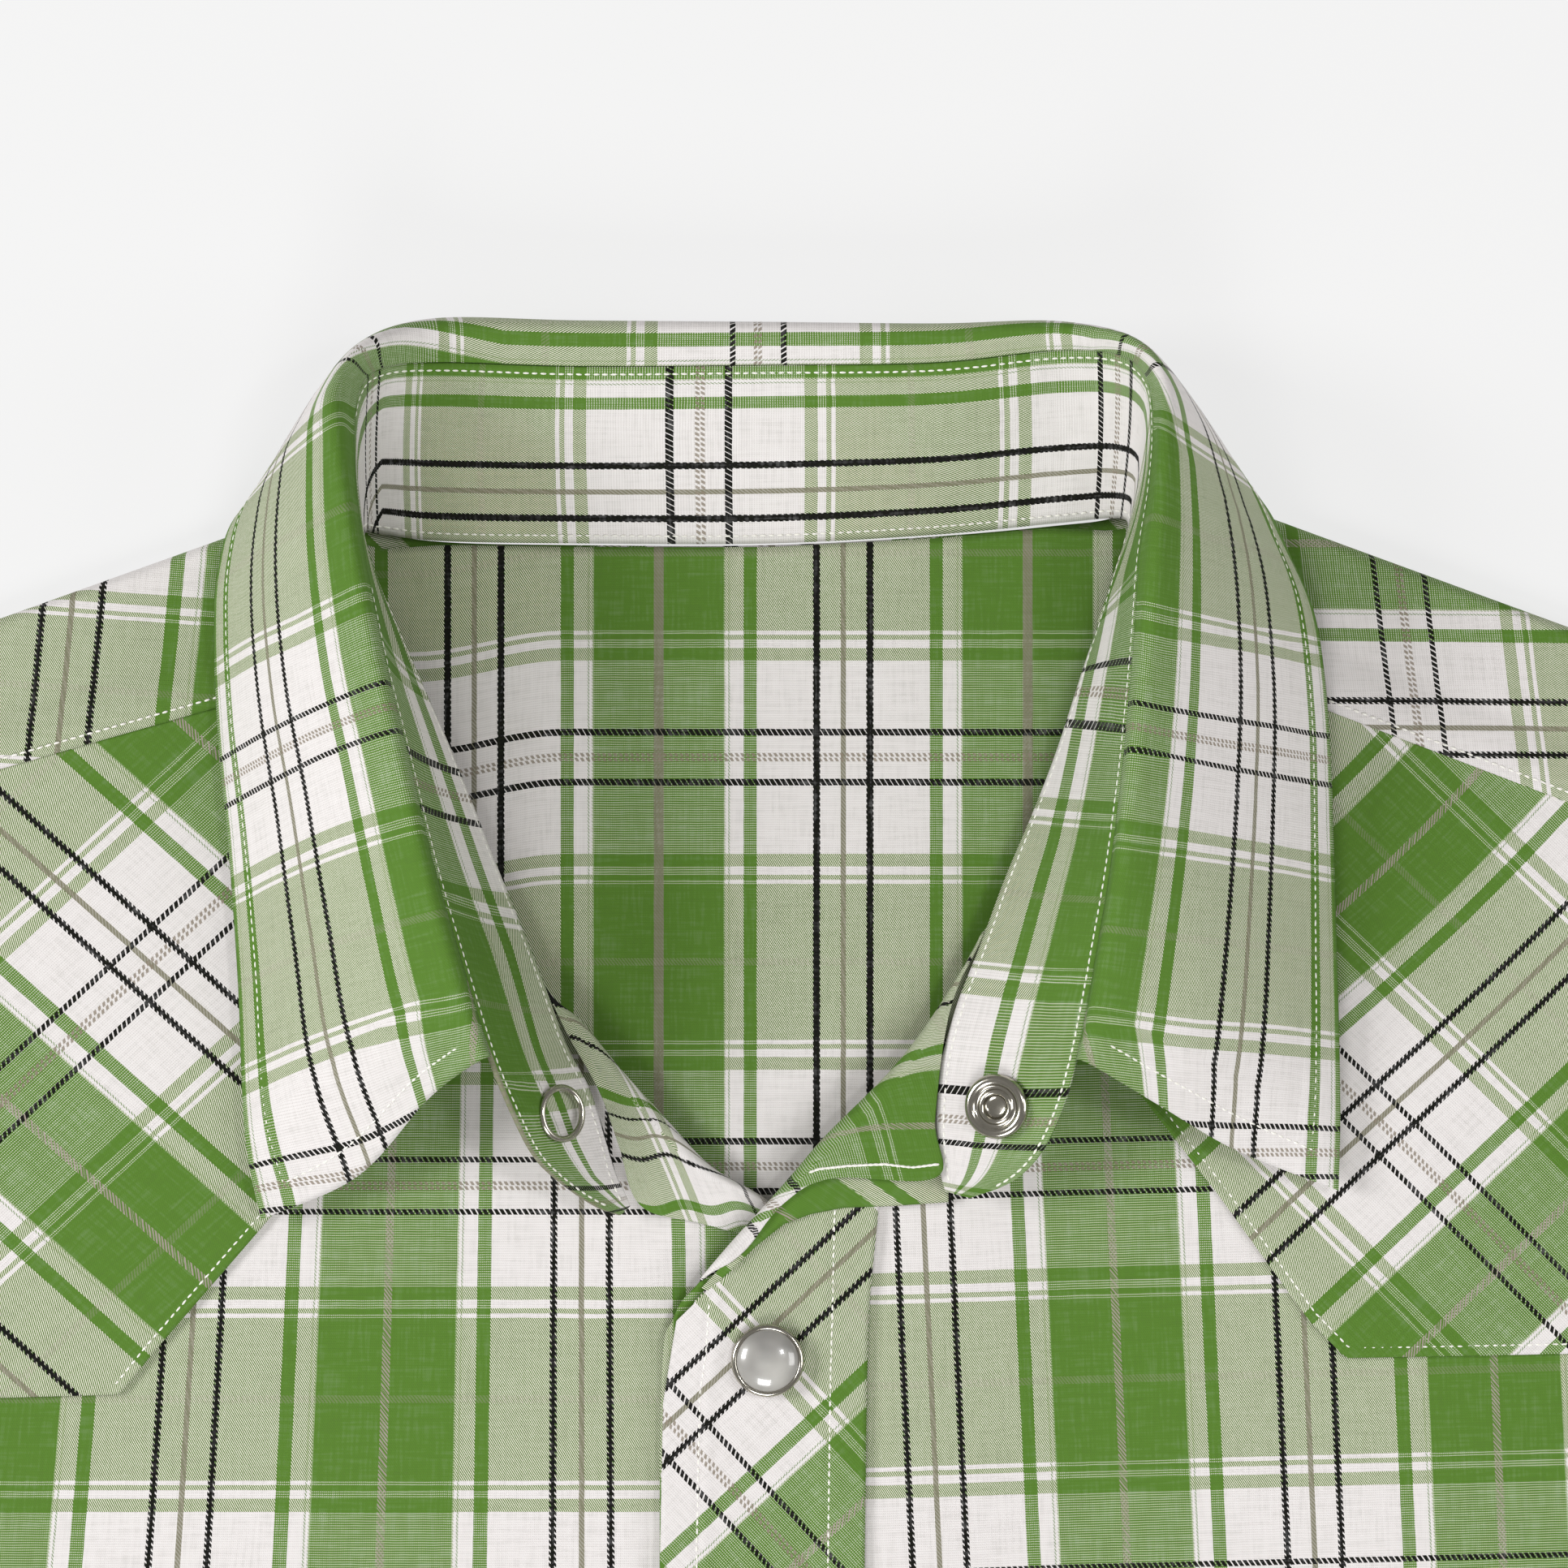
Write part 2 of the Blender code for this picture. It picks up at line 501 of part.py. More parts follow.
def make_front(name, side, courses, turns, height, finish):
    """A front panel with the corner at its neck turned out: a body patch and a turned patch along the roll."""
    per_course = 2
    rows, lines = course_rows(side, courses, per_course, 13, height)
    first = NECK_COURSE * per_course
    last = first + len(turns) * per_course
    edges = along_turns(turns, courses[NECK_COURSE + len(turns)].inner, per_course)
    turned_rows = []
    for k in range(first, last + 1):
        fold = Vector(lines[k].inner)
        (ex, ey), top = edges[k - first]
        out = Vector((ex, ey)) - fold
        reach = out.length
        low = rows[k][0][2]
        if reach < 0.05 or top - low < 0.05:
            turned_rows.append([rows[k][0]] * 8)
            continue
        out.normalize()
        radius = min((top - low) / 2, reach / 2.2)
        centre = (top + low) / 2
        section = []
        for angle in (-90, -45, 0, 45, 90):
            inward = radius * (1 - math.cos(math.radians(angle)))
            flat = fold + out * inward
            section.append((flat.x, flat.y, centre + (top - low) / 2 * math.sin(math.radians(angle))))
        for share in (0.35, 0.7, 1.0):
            flat = fold + out * (radius + (reach - radius) * share)
            section.append((flat.x, flat.y, top))
        rows[k][0] = section[0]
        turned_rows.append(section)
    cloth(name, [rows, turned_rows], finish)
    return rows


def along_turns(turns, end, per_course):
    """Edge point and height of the turned corner for each row, down to nothing at the end of the roll."""
    rows = list(turns) + [Turn(end, None)]
    found = []
    for row, after in zip(rows, rows[1:]):
        height = row.height if after.height is None else after.height
        for step in range(per_course):
            t = step / per_course
            found.append((mix(row.edge, after.edge, t), row.height + (height - row.height) * t))
    found.append((end, rows[-2].height))
    return found


def height_on(rows, x, y):
    """Height of a panel's own faces at a point, so that what lies on it follows them."""
    here = Vector((x, y, 0.0))
    nearest, found = 1e9, None
    for first, second in zip(rows, rows[1:]):
        for i in range(len(first) - 1):
            quad = [Vector(p) for p in (first[i], first[i + 1], second[i + 1], second[i])]
            for a, b, c in (quad[:3], (quad[0], quad[2], quad[3])):
                area = (b.x - a.x) * (c.y - a.y) - (c.x - a.x) * (b.y - a.y)
                if abs(area) < 1e-6:
                    continue
                v = ((here.x - a.x) * (c.y - a.y) - (c.x - a.x) * (here.y - a.y)) / area
                w = ((b.x - a.x) * (here.y - a.y) - (here.x - a.x) * (b.y - a.y)) / area
                outside = max(-v, -w, v + w - 1.0, 0.0)
                if outside < nearest:
                    nearest, found = outside, a.z + v * (b.z - a.z) + w * (c.z - a.z)
                if outside == 0.0:
                    return found
    return found


def make_front_yoke(name, side, courses, edge, panel, finish):
    """A pointed yoke laid on a front, from the shoulder seam to its own lower edge."""
    beside_stand = Vector((side * STAND_SEAM, 0.0))
    neck = [p + beside_stand for p in along([row.inner for row in courses[:3]] + [edge[0]], 8)]
    arm = along([side_point(side, row.side) for row in courses[:2]] + [edge[-1]], 8)
    seam = along([neck[0], arm[0]], 19)
    lower = along([neck[-1]] + edge[1:], 19)
    rows = []
    for v in range(8):
        tv = v / 7
        row = []
        for u in range(19):
            tu = u / 18
            ruled = seam[u].lerp(lower[u], tv) + neck[v].lerp(arm[v], tu)
            corners = (seam[0].lerp(seam[-1], tu)).lerp(lower[0].lerp(lower[-1], tu), tv)
            p = ruled - corners
            row.append((p.x, p.y, height_on(panel, p.x, p.y) + LAYER))
        rows.append(row)
    cloth(name, [rows], finish)


def make_placket(panel):
    """The strip on the left front's edge that carries the snap caps, from under the turned corner to the hem."""
    left_edge = [(-11.2, -139.0), (-16.9, -144.6), (-19.4, -160.0), (-20.0, -190.0), (-20.0, -260.0),
                 (-20.0, -380.0), (-20.0, -500.0), (-20.0, -620.0), (-20.0, -BACK_LENGTH)]
    right_edge = [(19.2, -126.6), (18.9, -136.2), (18.4, -156.5), (18.0, -190.0), (18.0, -260.0),
                  (18.0, -380.0), (18.0, -500.0), (18.0, -620.0), (18.0, -BACK_LENGTH)]
    rows = []
    for a, b in zip(along(left_edge, 60, 1.6), along(right_edge, 60, 1.6)):
        row = []
        for i in range(4):
            p = a.lerp(b, i / 3)
            row.append((p.x, p.y, height_on(panel, p.x, p.y) + LAYER))
        rows.append(row)
    cloth("placket", [rows], ("placket", WHITE, 0.85))


def make_sleeve(side):
    """A flattened tube from the armhole to a plain turned hem, folded along its top and its underarm."""
    rings = []
    for k in range(7):
        t = k / 6
        line = []
        for row in SLEEVE:
            x, y = side_point(1, row.side)
            y += ARMHOLE_SEAM * smoothstep((-y - 150.0) / 80.0)
            x, y = mix((x + ARMHOLE_SEAM, y), mix(SLEEVE_TOP, SLEEVE_UNDER, row.share), t)
            line.append((side * x, y))
        across = Vector(line[-1]) - Vector(line[0])
        across.normalize()
        top = SLEEVE_LIFT + 0.6 * math.sin(math.pi * t)
        middle = (top + CLOTH / 2) / 2
        radius = middle - CLOTH / 2
        ring = [(*(Vector(line[0])), middle)]
        flat = [Vector(line[0]) + across * radius] + [Vector(p) for p in line[1:-1]]
        flat.append(Vector(line[-1]) - across * radius)
        ring += [(p.x, p.y, CLOTH / 2) for p in flat]
        ring.append((*(Vector(line[-1])), middle))
        ring += [(p.x, p.y, top) for p in reversed(flat)]
        rings.append(ring)
    name = "sleeve_right" if side < 0 else "sleeve_left"
    cloth(name, [rings], ("sleeve", PALE, 0.85), ring=True)


def make_caps(panel):
    """Domed caps along the placket, with a rim that turns in under the pearl."""
    profile = [(0.0, CAP_HEIGHT), (2.6, CAP_HEIGHT - 0.3), (4.6, CAP_HEIGHT - 1.0), (5.9, CAP_HEIGHT - 1.9),
               (CAP_RADIUS - 0.2, 1.3), (CAP_RADIUS, 0.8), (CAP_RADIUS - 0.3, 0.2), (CAP_RADIUS - 1.0, 0.0),
               (0.0, 0.0)]
    for i in range(SNAP_COUNT):
        y = SNAP_FIRST - SNAP_PITCH * i
        base = max(height_on(panel, x, y + d) for x in (-6.0, 0.0, 6.0) for d in (-6.0, 0.0, 6.0))
        turned(f"snap_cap_{i + 1}", profile, (0.0, y, base + LAYER + CLOTH / 2 + GAP), (0, 0, 1),
               ("cap", PEARL, 0.25), steps=16)


def stand_place(row, share, lift):
    """A point over the inner face of the stand, at a row between two of its sections, and the face's normal."""
    rows = stand_rows(2 * len(STAND) - 1)
    k = int(2 * row)
    a, b = Vector(rows[k][0]), Vector(rows[k][-1])
    here = a.lerp(b, share)
    after = Vector(rows[k + 1][0]).lerp(Vector(rows[k + 1][-1]), share)
    normal = (b - a).cross(after - here).normalized()
    if normal.z < 0:
        normal = -normal
    return here + normal * lift, normal


def make_stand_snap():
    """The open ring at the right end of the stand and the socket at its left end."""
    count = 8
    wire = [(RING_RADIUS - RING_WIRE * math.cos(2 * math.pi * i / count) * -1,
             RING_WIRE * (1 - math.sin(2 * math.pi * i / count))) for i in range(count)]
    place, axis = stand_place(3.8, 0.47, CLOTH / 2 + GAP)
    turned("snap_ring", wire + wire[:1], place, axis, ("metal", METAL, 0.25, 1.0))
    socket = [(SOCKET_HOLE, SOCKET_HEIGHT - 0.6), (3.0, SOCKET_HEIGHT - 0.3), (4.2, SOCKET_HEIGHT),
              (5.2, SOCKET_HEIGHT - 0.2), (SOCKET_RADIUS, SOCKET_HEIGHT - 0.8), (5.2, 0.0), (SOCKET_HOLE, 0.0)]
    place, axis = stand_place(30.8, 0.47, CLOTH / 2 + GAP)
    turned("snap_socket", socket + socket[:1], place, axis, ("metal", METAL, 0.25, 1.0))


def main():
    for obj in list(bpy.data.objects):
        bpy.data.objects.remove(obj)
    collection = bpy.data.collections.new("western_snap_shirt")
    bpy.context.scene.collection.children.link(collection)
    make_back_yoke()
    make_back()
    right = make_front("front_right", -1, FRONT_RIGHT, TURN_RIGHT, right_height, ("right_front", PALE, 0.85))
    left = make_front("front_left", 1, FRONT_LEFT, TURN_LEFT, left_height, ("left_front", PALE, 0.85))
    make_front_yoke("front_yoke_right", -1, FRONT_RIGHT, FRONT_YOKE_RIGHT, right, ("yoke", GREEN, 0.85))
    make_front_yoke("front_yoke_left", 1, FRONT_LEFT, FRONT_YOKE_LEFT, left, ("yoke", GREEN, 0.85))
    make_placket(left)
    make_sleeve(-1)
    make_sleeve(1)
    make_stand()
    make_fall()
    make_caps(left)
    make_stand_snap()


main()
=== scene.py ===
"""The looks of a western snap shirt, laid flat on its back with the collar standing open.

Shapes are worked out in the shirt's own millimetres: x to the right, y towards the collar, z up from the
surface it lies on, with (0, 0) at the back neck seam. Names say right and left as the wearer does, so right
is at -x.
"""

import logging
import math
import random
from collections.abc import Callable, Sequence
from dataclasses import dataclass, field
from enum import Enum, IntEnum
from typing import NamedTuple

import bmesh
import bpy
from mathutils import Matrix, Vector, noise


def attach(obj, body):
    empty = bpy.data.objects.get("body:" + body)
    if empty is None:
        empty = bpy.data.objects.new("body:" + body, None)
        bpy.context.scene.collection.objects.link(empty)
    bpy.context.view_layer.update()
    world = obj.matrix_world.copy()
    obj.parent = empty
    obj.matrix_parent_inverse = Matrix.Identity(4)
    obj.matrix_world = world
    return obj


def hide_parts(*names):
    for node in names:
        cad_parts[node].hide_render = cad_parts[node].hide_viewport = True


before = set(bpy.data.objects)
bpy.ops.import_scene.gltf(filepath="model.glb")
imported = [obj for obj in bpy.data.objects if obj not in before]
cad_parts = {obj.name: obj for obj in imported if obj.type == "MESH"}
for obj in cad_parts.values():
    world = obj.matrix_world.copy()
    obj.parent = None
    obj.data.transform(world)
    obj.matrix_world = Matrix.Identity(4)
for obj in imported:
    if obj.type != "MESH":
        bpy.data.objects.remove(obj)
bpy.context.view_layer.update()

logging.basicConfig(level=logging.INFO, format="%(message)s")
log = logging.getLogger("shirt")

MM = 0.001
BODY = "root"
NECK_TO_CENTRE = 354.7           # from the back neck seam to the middle of the shirt's length
LAYER = 1.3                      # between the middles of two layers of cloth
CLOTH = 0.6                      # wall of one layer
UP = Vector((0.0, 0.0, 1.0))
Point = Sequence[float]


def linear(hexcode: str) -> tuple[float, float, float, float]:
    """A screen colour, such as "7FB060", as the linear colour that a shader takes.

    Args:
        hexcode: Six hexadecimal digits.

    Returns:
        Red, green, blue and an alpha of 1.
    """
    parts = [int(hexcode[i:i + 2], 16) / 255 for i in (0, 2, 4)]
    return (*(c / 12.92 if c <= 0.04045 else ((c + 0.055) / 1.055) ** 2.4 for c in parts), 1.0)


# ---------------------------------------------------------------- materials

class Value:
    """A number in a material. An expression on values adds the Math nodes that work it out."""

    def __init__(self, net: "Net", socket: bpy.types.NodeSocket) -> None:
        """Wrap an output socket of a net."""
        self.net = net
        self.socket = socket

    def math(self, operation: str, *operands: "Value | float") -> "Value":
        """The result of a Math node on the given operands."""
        node = self.net.node("ShaderNodeMath", {"operation": operation}, dict(enumerate(operands)))
        return Value(self.net, node.outputs[0])

    def __add__(self, other: "Value | float") -> "Value":
        """Sum."""
        return self.math("ADD", self, other)

    __radd__ = __add__

    def __sub__(self, other: "Value | float") -> "Value":
        """Difference."""
        return self.math("SUBTRACT", self, other)

    def __rsub__(self, other: "Value | float") -> "Value":
        """Difference from a number."""
        return self.math("SUBTRACT", other, self)

    def __mul__(self, other: "Value | float") -> "Value":
        """Product."""
        return self.math("MULTIPLY", self, other)

    __rmul__ = __mul__

    def __truediv__(self, other: "Value | float") -> "Value":
        """Quotient."""
        return self.math("DIVIDE", self, other)

    def __gt__(self, other: "Value | float") -> "Value":
        """1 where this is the larger, else 0."""
        return self.math("GREATER_THAN", self, other)

    def __lt__(self, other: "Value | float") -> "Value":
        """1 where this is the smaller, else 0."""
        return self.math("LESS_THAN", self, other)

    def __abs__(self) -> "Value":
        """Size without its sign."""
        return self.math("ABSOLUTE", self)

    def fold(self, half: float) -> "Value":
        """Distance to the nearest whole multiple of twice the given half repeat."""
        return self.math("PINGPONG", self, half)

    def part(self) -> "Value":
        """What is left after the whole number below."""
        return self.math("FRACT", self)

    def between(self, low: float, high: float) -> "Value":
        """1 between two bounds, else 0."""
        return (self > low) * (self < high)

    def either(self, other: "Value | float") -> "Value":
        """The larger of the two."""
        return self.math("MAXIMUM", self, other)


class Net:
    """The nodes of one material round its Principled shader."""

    def __init__(self, name: str) -> None:
        """Start a material of this name."""
        self.material = bpy.data.materials.new(name)
        self.material.use_nodes = True
        self.tree = self.material.node_tree
        self.shader = self.tree.nodes["Principled BSDF"]

    def node(self, kind: str, settings: dict[str, object] | None = None,
             inputs: dict[int | str, object] | None = None) -> bpy.types.Node:
        """Add a node.

        Args:
            kind: The node's type.
            settings: Properties, set first.
            inputs: Values or links of its sockets, by name or number.

        Returns:
            The node.
        """
        node = self.tree.nodes.new(kind)
        for key, setting in (settings or {}).items():
            setattr(node, key, setting)
        for key, value in (inputs or {}).items():
            self.feed(node.inputs[key], value)
        return node

    def feed(self, socket: bpy.types.NodeSocket, value: object) -> None:
        """Link a value or a socket to a socket, or set its number.

        Args:
            socket: The socket to feed.
            value: A value, a socket, a number or a colour.
        """
        if isinstance(value, Value):
            self.tree.links.new(value.socket, socket)
        elif isinstance(value, bpy.types.NodeSocket):
            self.tree.links.new(value, socket)
        else:
            socket.default_value = value

    def mix(self, first: object, second: object, share: "Value | float") -> bpy.types.NodeSocket:
        """The first colour turned into the second by a share of it."""
        node = self.node("ShaderNodeMix", {"data_type": "RGBA"}, {0: share, 6: first, 7: second})
        return node.outputs[2]

    def noise(self, vector: object, scale: float, detail: float = 2.0) -> Value:
        """Smooth noise from 0 to 1 at a place."""
        node = self.node("ShaderNodeTexNoise", {}, {"Vector": vector, "Scale": scale, "Detail": detail})
        return Value(self, node.outputs["Fac"])

    def bump(self, height: Value, depth: float, strength: float) -> None:
        """Let a height, in shares of a depth in metres, tilt the surface's normal."""
        node = self.node("ShaderNodeBump", {}, {"Height": height, "Distance": depth, "Strength": strength})
        self.tree.links.new(node.outputs["Normal"], self.shader.inputs["Normal"])

    def finish(self, colour: object, roughness: object, **constants: object) -> bpy.types.Material:
        """Feed the shader its colour and roughness and set what is the same all over.

        Args:
            colour: Colour or link.
            roughness: Number or value.
            constants: Other sockets, with underscores for the spaces in their names.

        Returns:
            The finished material.
        """
        self.feed(self.shader.inputs["Base Color"], colour)
        self.feed(self.shader.inputs["Roughness"], roughness)
        for key, value in constants.items():
            self.shader.inputs[key.replace("_", " ")].default_value = value
        return self.material


class Yarn(Enum):
    """Colours of the yarns that the plaid is woven from, and of painted shade over them."""

    WHITE = "DDD9D8"
    CREAM = "E2DECA"
    GREEN = "547A2B"
    DULL_GREEN = "8FA077"
    GREY = "7E7B68"
    BROWN = "84796A"
    # painted shade: the white weft's floats among green warp, greyed as if in shadow
    SHADED_FLOAT = "BCC3A4"
    OLIVE = "55703C"
    ROSE = "A0918C"
    BLACK = "0B0A08"
    SHADE = "2F4A1C"
    # painted shade in the hollows between white yarns
    GAP_SHADE = "A39A96"


class Stripe(NamedTuple):
    """A stripe, from and to so many millimetres from the middle of the white ground."""

    start: float
    end: float
    yarn: Yarn


class Face(Enum):
    """Which side of the woven cloth shows."""

    RIGHT_SIDE = 0.0
    REVERSE = 1.0


@dataclass(frozen=True)
class Plaid:
    """Yarn-dyed twill plaid, drawn in the cloth's own grain map: u across the warp, v along it, in metres."""

    name: str
    face: Face = Face.RIGHT_SIDE
    warp_half: float = 35.4
    weft_half: float = 39.7
    line: float = 5.12               # black lines, this far each side of the grey one
    weft_line: float = 4.85
    rib: float = 0.45                # from one weft yarn to the next
    hatch: float = 0.385             # from one twill line to the next, across the warp
    rise: float = 0.66               # and along it
    bead: float = 0.36               # from one small float to the next, across the warp
    nick: float = 1.06               # from one float of a black line to the next
    ground_end: float = 22.75        # from here to the end of the repeat the warp is green
    crooked: float = 0.16            # how far the yarns stray from their straight line
    warp: tuple[Stripe, ...] = (
        Stripe(16.6, 19.1, Yarn.GREEN),
        Stripe(21.75, 22.1, Yarn.GREEN),
        Stripe(22.55, 22.95, Yarn.DULL_GREEN),
        Stripe(22.95, 36.0, Yarn.GREEN),
    )
    weft: tuple[Stripe, ...] = (
        Stripe(18.75, 21.2, Yarn.GREEN),
        Stripe(22.8, 23.75, Yarn.GREEN),
        Stripe(24.55, 40.0, Yarn.GREEN),
    )

    def striped(self, net: Net, place: Value, stripes: Sequence[Stripe]) -> bpy.types.NodeSocket:
        """The yarn's colour at a place across its stripes, on white.

        Args:
            net: The material's nodes.
            place: Distance from the middle of the ground.
            stripes: The coloured stripes.

        Returns:
            The colour.
        """
        colour: object = linear(Yarn.WHITE.value)
        for stripe in stripes:
            colour = net.mix(colour, linear(stripe.yarn.value), place.between(stripe.start, stripe.end))
        return colour

    def make(self) -> bpy.types.Material:
        """Build the material.

        Returns:
            The material.
        """
        net = Net(self.name)
        grain = net.node("ShaderNodeUVMap", {"uv_map": "grain"}).outputs[0]
        split = net.node("ShaderNodeSeparateXYZ", {}, {0: grain})
        u = Value(net, split.outputs[0]) * 1000.0
        v = Value(net, split.outputs[1]) * 1000.0
        wander = (net.noise(grain, 260.0, 1.0) - 0.5) * self.crooked
        u = u + wander
        v = v + wander
        p = u.fold(self.warp_half)
        q = v.fold(self.weft_half)

        warp = self.striped(net, p, self.warp)
        weft = self.striped(net, q, self.weft)
        first, second, third = self.weft
        green_warp = p.between(self.warp[0].start, self.warp[0].end) + (p > self.ground_end)
        white_weft = q.between(first.end, second.start) + q.between(second.end, third.start)
        white_weft = (q < first.start) + white_weft
        white_warp = 1.0 - green_warp
        green_weft = 1.0 - white_weft

        # White warp shows half of the weft in twill lines; green warp covers all but rows of small floats.
        twill = (u / self.hatch + v / self.rise).fold(0.5) * 2.0
        rib = (v / self.rib).fold(0.5) * 2.0
        bead = (u / self.bead).fold(0.5) * 2.0
        dot = rib * 0.62 + bead * 0.38
        floats = (twill > 0.42) * white_warp + (dot > 0.68) * green_warp
        warp = net.mix(warp, linear(Yarn.CREAM.value), green_weft * white_warp * 0.75)
        weft = net.mix(weft, linear(Yarn.OLIVE.value), green_weft * white_warp * 0.6)
        # Painted shade: the white weft's small floats between green warp yarns are greyed as if in shadow.
        weft = net.mix(weft, linear(Yarn.SHADED_FLOAT.value), white_weft * green_warp * 0.7)
        cloth = net.mix(warp, weft, floats)
        cloth = net.mix(cloth, linear(Yarn.SHADE.value), (twill < 0.3) * green_weft * green_warp * 0.14)
        # Painted shade: grey-lilac dots in the hollows where white warp and white weft cross.
        gap_shade = (rib < 0.34) * (bead < 0.5) * white_weft * white_warp
        cloth = net.mix(cloth, linear(Yarn.GAP_SHADE.value), gap_shade * 0.42)
        cloth = self.thin_lines(net, cloth, u, v, p, q)

        along_warp = net.node("ShaderNodeCombineXYZ", {}, {0: u * 1.6, 1: v * 0.12})
        along_weft = net.node("ShaderNodeCombineXYZ", {}, {0: u * 0.12, 1: v * 1.3, 2: 5.0})
        streak = net.noise(along_warp.outputs[0], 1.0, 2.0)
        slub = net.noise(along_weft.outputs[0], 1.0, 2.0)
        uneven = (streak + slub - 1.0) * 0.5
        cloth = net.mix(cloth, linear("FFFFFF"), uneven.either(0.0) * (white_weft * 0.25 + 0.2))
        cloth = net.mix(cloth, linear("4A5238"), (0.0 - uneven).either(0.0) * 0.75)
        net.bump(floats * 0.4 + rib * 0.5 + bead * 0.2, 0.00008, 0.5)
        return net.finish(cloth, 0.88, Sheen_Weight=0.04, Sheen_Roughness=0.5, Specular_IOR_Level=0.16)

    def signed(self, place: Value, half: float) -> Value:
        """Way from the nearest line of a repeat, below 0 before it."""
        return ((place / (2 * half) + 0.5).part() - 0.5) * (2 * half)

    def thin_lines(self, net: Net, cloth: object, u: Value, v: Value, p: Value,
                   q: Value) -> bpy.types.NodeSocket:
        """Lay the black and grey lines over the ground.

        Args:
            net: The material's nodes.
            cloth: Colour so far.
            u: Millimetres across the warp.
            v: Millimetres along it.
            p: Distance from the middle of the warp's ground.
            q: Distance from the middle of the weft's ground.

        Returns:
            The colour with its lines.
        """
        black = linear(Yarn.BLACK.value)
        reverse = self.face is Face.REVERSE
        slant = (u / 0.62 + v / 0.8).part() > 0.42
        broken = (v / 1.5 + u / 1.1).part() > 0.16
        centre = p > self.warp_half - (0.95 if reverse else 0.75)
        cloth = net.mix(cloth, linear(Yarn.GREY.value if reverse else Yarn.ROSE.value),
                        centre * (0.7 + slant * 0.3) if reverse else centre * slant * broken * 0.85)
        cloth = net.mix(cloth, linear(Yarn.ROSE.value), (q > self.weft_half - 0.7) * slant * 0.22)
        cloth = net.mix(cloth, linear(Yarn.GREY.value), (p < 0.5) * (0.76 + slant * 0.24))
        away = self.signed(v, self.weft_half)
        row = away.math("SIGN", away)
        dash = ((u + away * 0.6 + row * 0.27) / self.nick).part()
        cloth = net.mix(cloth, linear(Yarn.BROWN.value), abs(away).between(0.1, 0.8) * (dash < 0.55) * 0.85)
        wide = 0.66 if reverse else 0.54
        dash = ((u + away * 0.62) / self.nick).part()
        cloth = net.mix(cloth, black, (abs(q - self.weft_line) < wide) * (dash < (0.84 if reverse else 0.72)))
        off = abs(p - self.line)
        tooth = ((v + self.signed(u, self.warp_half) * 1.1) / self.nick).part()
        nicks = (tooth < 0.36) * (off > (0.56 if reverse else 0.3))
        return net.mix(cloth, black, (off < (0.7 if reverse else 0.66)) * (1.0 - nicks))


@dataclass(frozen=True)
class Thread:
    """White sewing thread."""

    name: str = "sewing_thread"
    colour: str = "F1EFE9"

    def make(self) -> bpy.types.Material:
        """Build the material.

        Returns:
            The material.
        """
        net = Net(self.name)
        place = net.node("ShaderNodeTexCoord").outputs["Object"]
        ply = net.noise(place, 2600.0, 1.0)
        colour = net.mix(linear(self.colour), linear("CFCBBE"), (ply - 0.35).either(0.0))
        net.bump(ply, 0.0001, 0.5)
        return net.finish(colour, 0.62, Sheen_Weight=0.2)


@dataclass(frozen=True)
class Pearl:
    """Milky shell-like plastic with clouds of warm and cool tint under a clear gloss."""

    name: str = "pearl"

    def make(self) -> bpy.types.Material:
        """Build the material.

        Returns:
            The material.
        """
        net = Net(self.name)
        place = net.node("ShaderNodeTexCoord").outputs["Object"]
        cloud = net.noise(place, 130.0, 2.0)
        fine = net.noise(place, 420.0, 2.0)
        milk = ((cloud - 0.3) * 2.2).either(0.0)
        milk = milk.math("MINIMUM", milk, 1.0)
        colour = net.mix(linear("858380"), linear("B7B5B0"), milk)
        colour = net.mix(colour, linear("8F9492"), (fine - 0.5).either(0.0) * 0.7)
        return net.finish(colour, 0.26, Coat_Weight=1.0, Coat_Roughness=0.03, Specular_IOR_Level=0.7)


@dataclass(frozen=True)
class Metal:
    """Bright nickel with a faint brushing."""

    name: str = "nickel"

    def make(self) -> bpy.types.Material:
        """Build the material.

        Returns:
            The material.
        """
        net = Net(self.name)
        place = net.node("ShaderNodeTexCoord").outputs["Object"]
        worn = net.noise(place, 900.0, 2.0)
        colour = net.mix(linear("CFCBC0"), linear("7E7A70"), worn * 0.6)
        return net.finish(colour, 0.1 + worn * 0.16, Metallic=1.0)


# ---------------------------------------------------------------- the shirt's form

class Side(IntEnum):
    """A side of the shirt as its wearer has it, with the sign that x has there."""

    RIGHT = -1
    LEFT = 1


class StandRow(NamedTuple):
    """Where the stand meets the neck and where the fall is sewn to it, at one place along the neck."""

    lower: Point
    upper: Point


class FallRow(NamedTuple):
    """The crest of the fall's roll, two points down its outer side and its free edge."""

    crest: Point
    upper: Point
    lower: Point
    edge: Point


class Course(NamedTuple):
    """A course of a front: its inner point, and how far down the armhole or side seam it ends."""

    inner: Point
    side: float


class Turn(NamedTuple):
    """Where a turned-out corner ends at one course, and how high it lies there."""

    edge: Point
    height: float


class Crease(NamedTuple):
    """A soft ridge, or a trough where its depth is negative, between two places."""

    start: Point
    end: Point
    width: float
    depth: float


def smoothstep(t: float) -> float:
    """0 below 0, 1 above 1 and a smooth rise between."""
    t = min(max(t, 0.0), 1.0)
    return t * t * (3.0 - 2.0 * t)


def mix(a: Point, b: Point, t: float) -> tuple[float, ...]:
    """The point a share of the way from one point to another."""
    return tuple(p + (q - p) * t for p, q in zip(a, b))


def placed(point: Point) -> Vector:
    """A point of the shirt's own millimetres, in metres in the shared frame."""
    return Vector((point[0] * MM, (point[1] + NECK_TO_CENTRE) * MM, point[2] * MM))


def shares(count: int, power: float = 1.0) -> list[float]:
    """Numbers from 0 to 1 with one more than count of them, closer together at 0 for a power over 1."""
    return [(i / count) ** power for i in range(count + 1)]


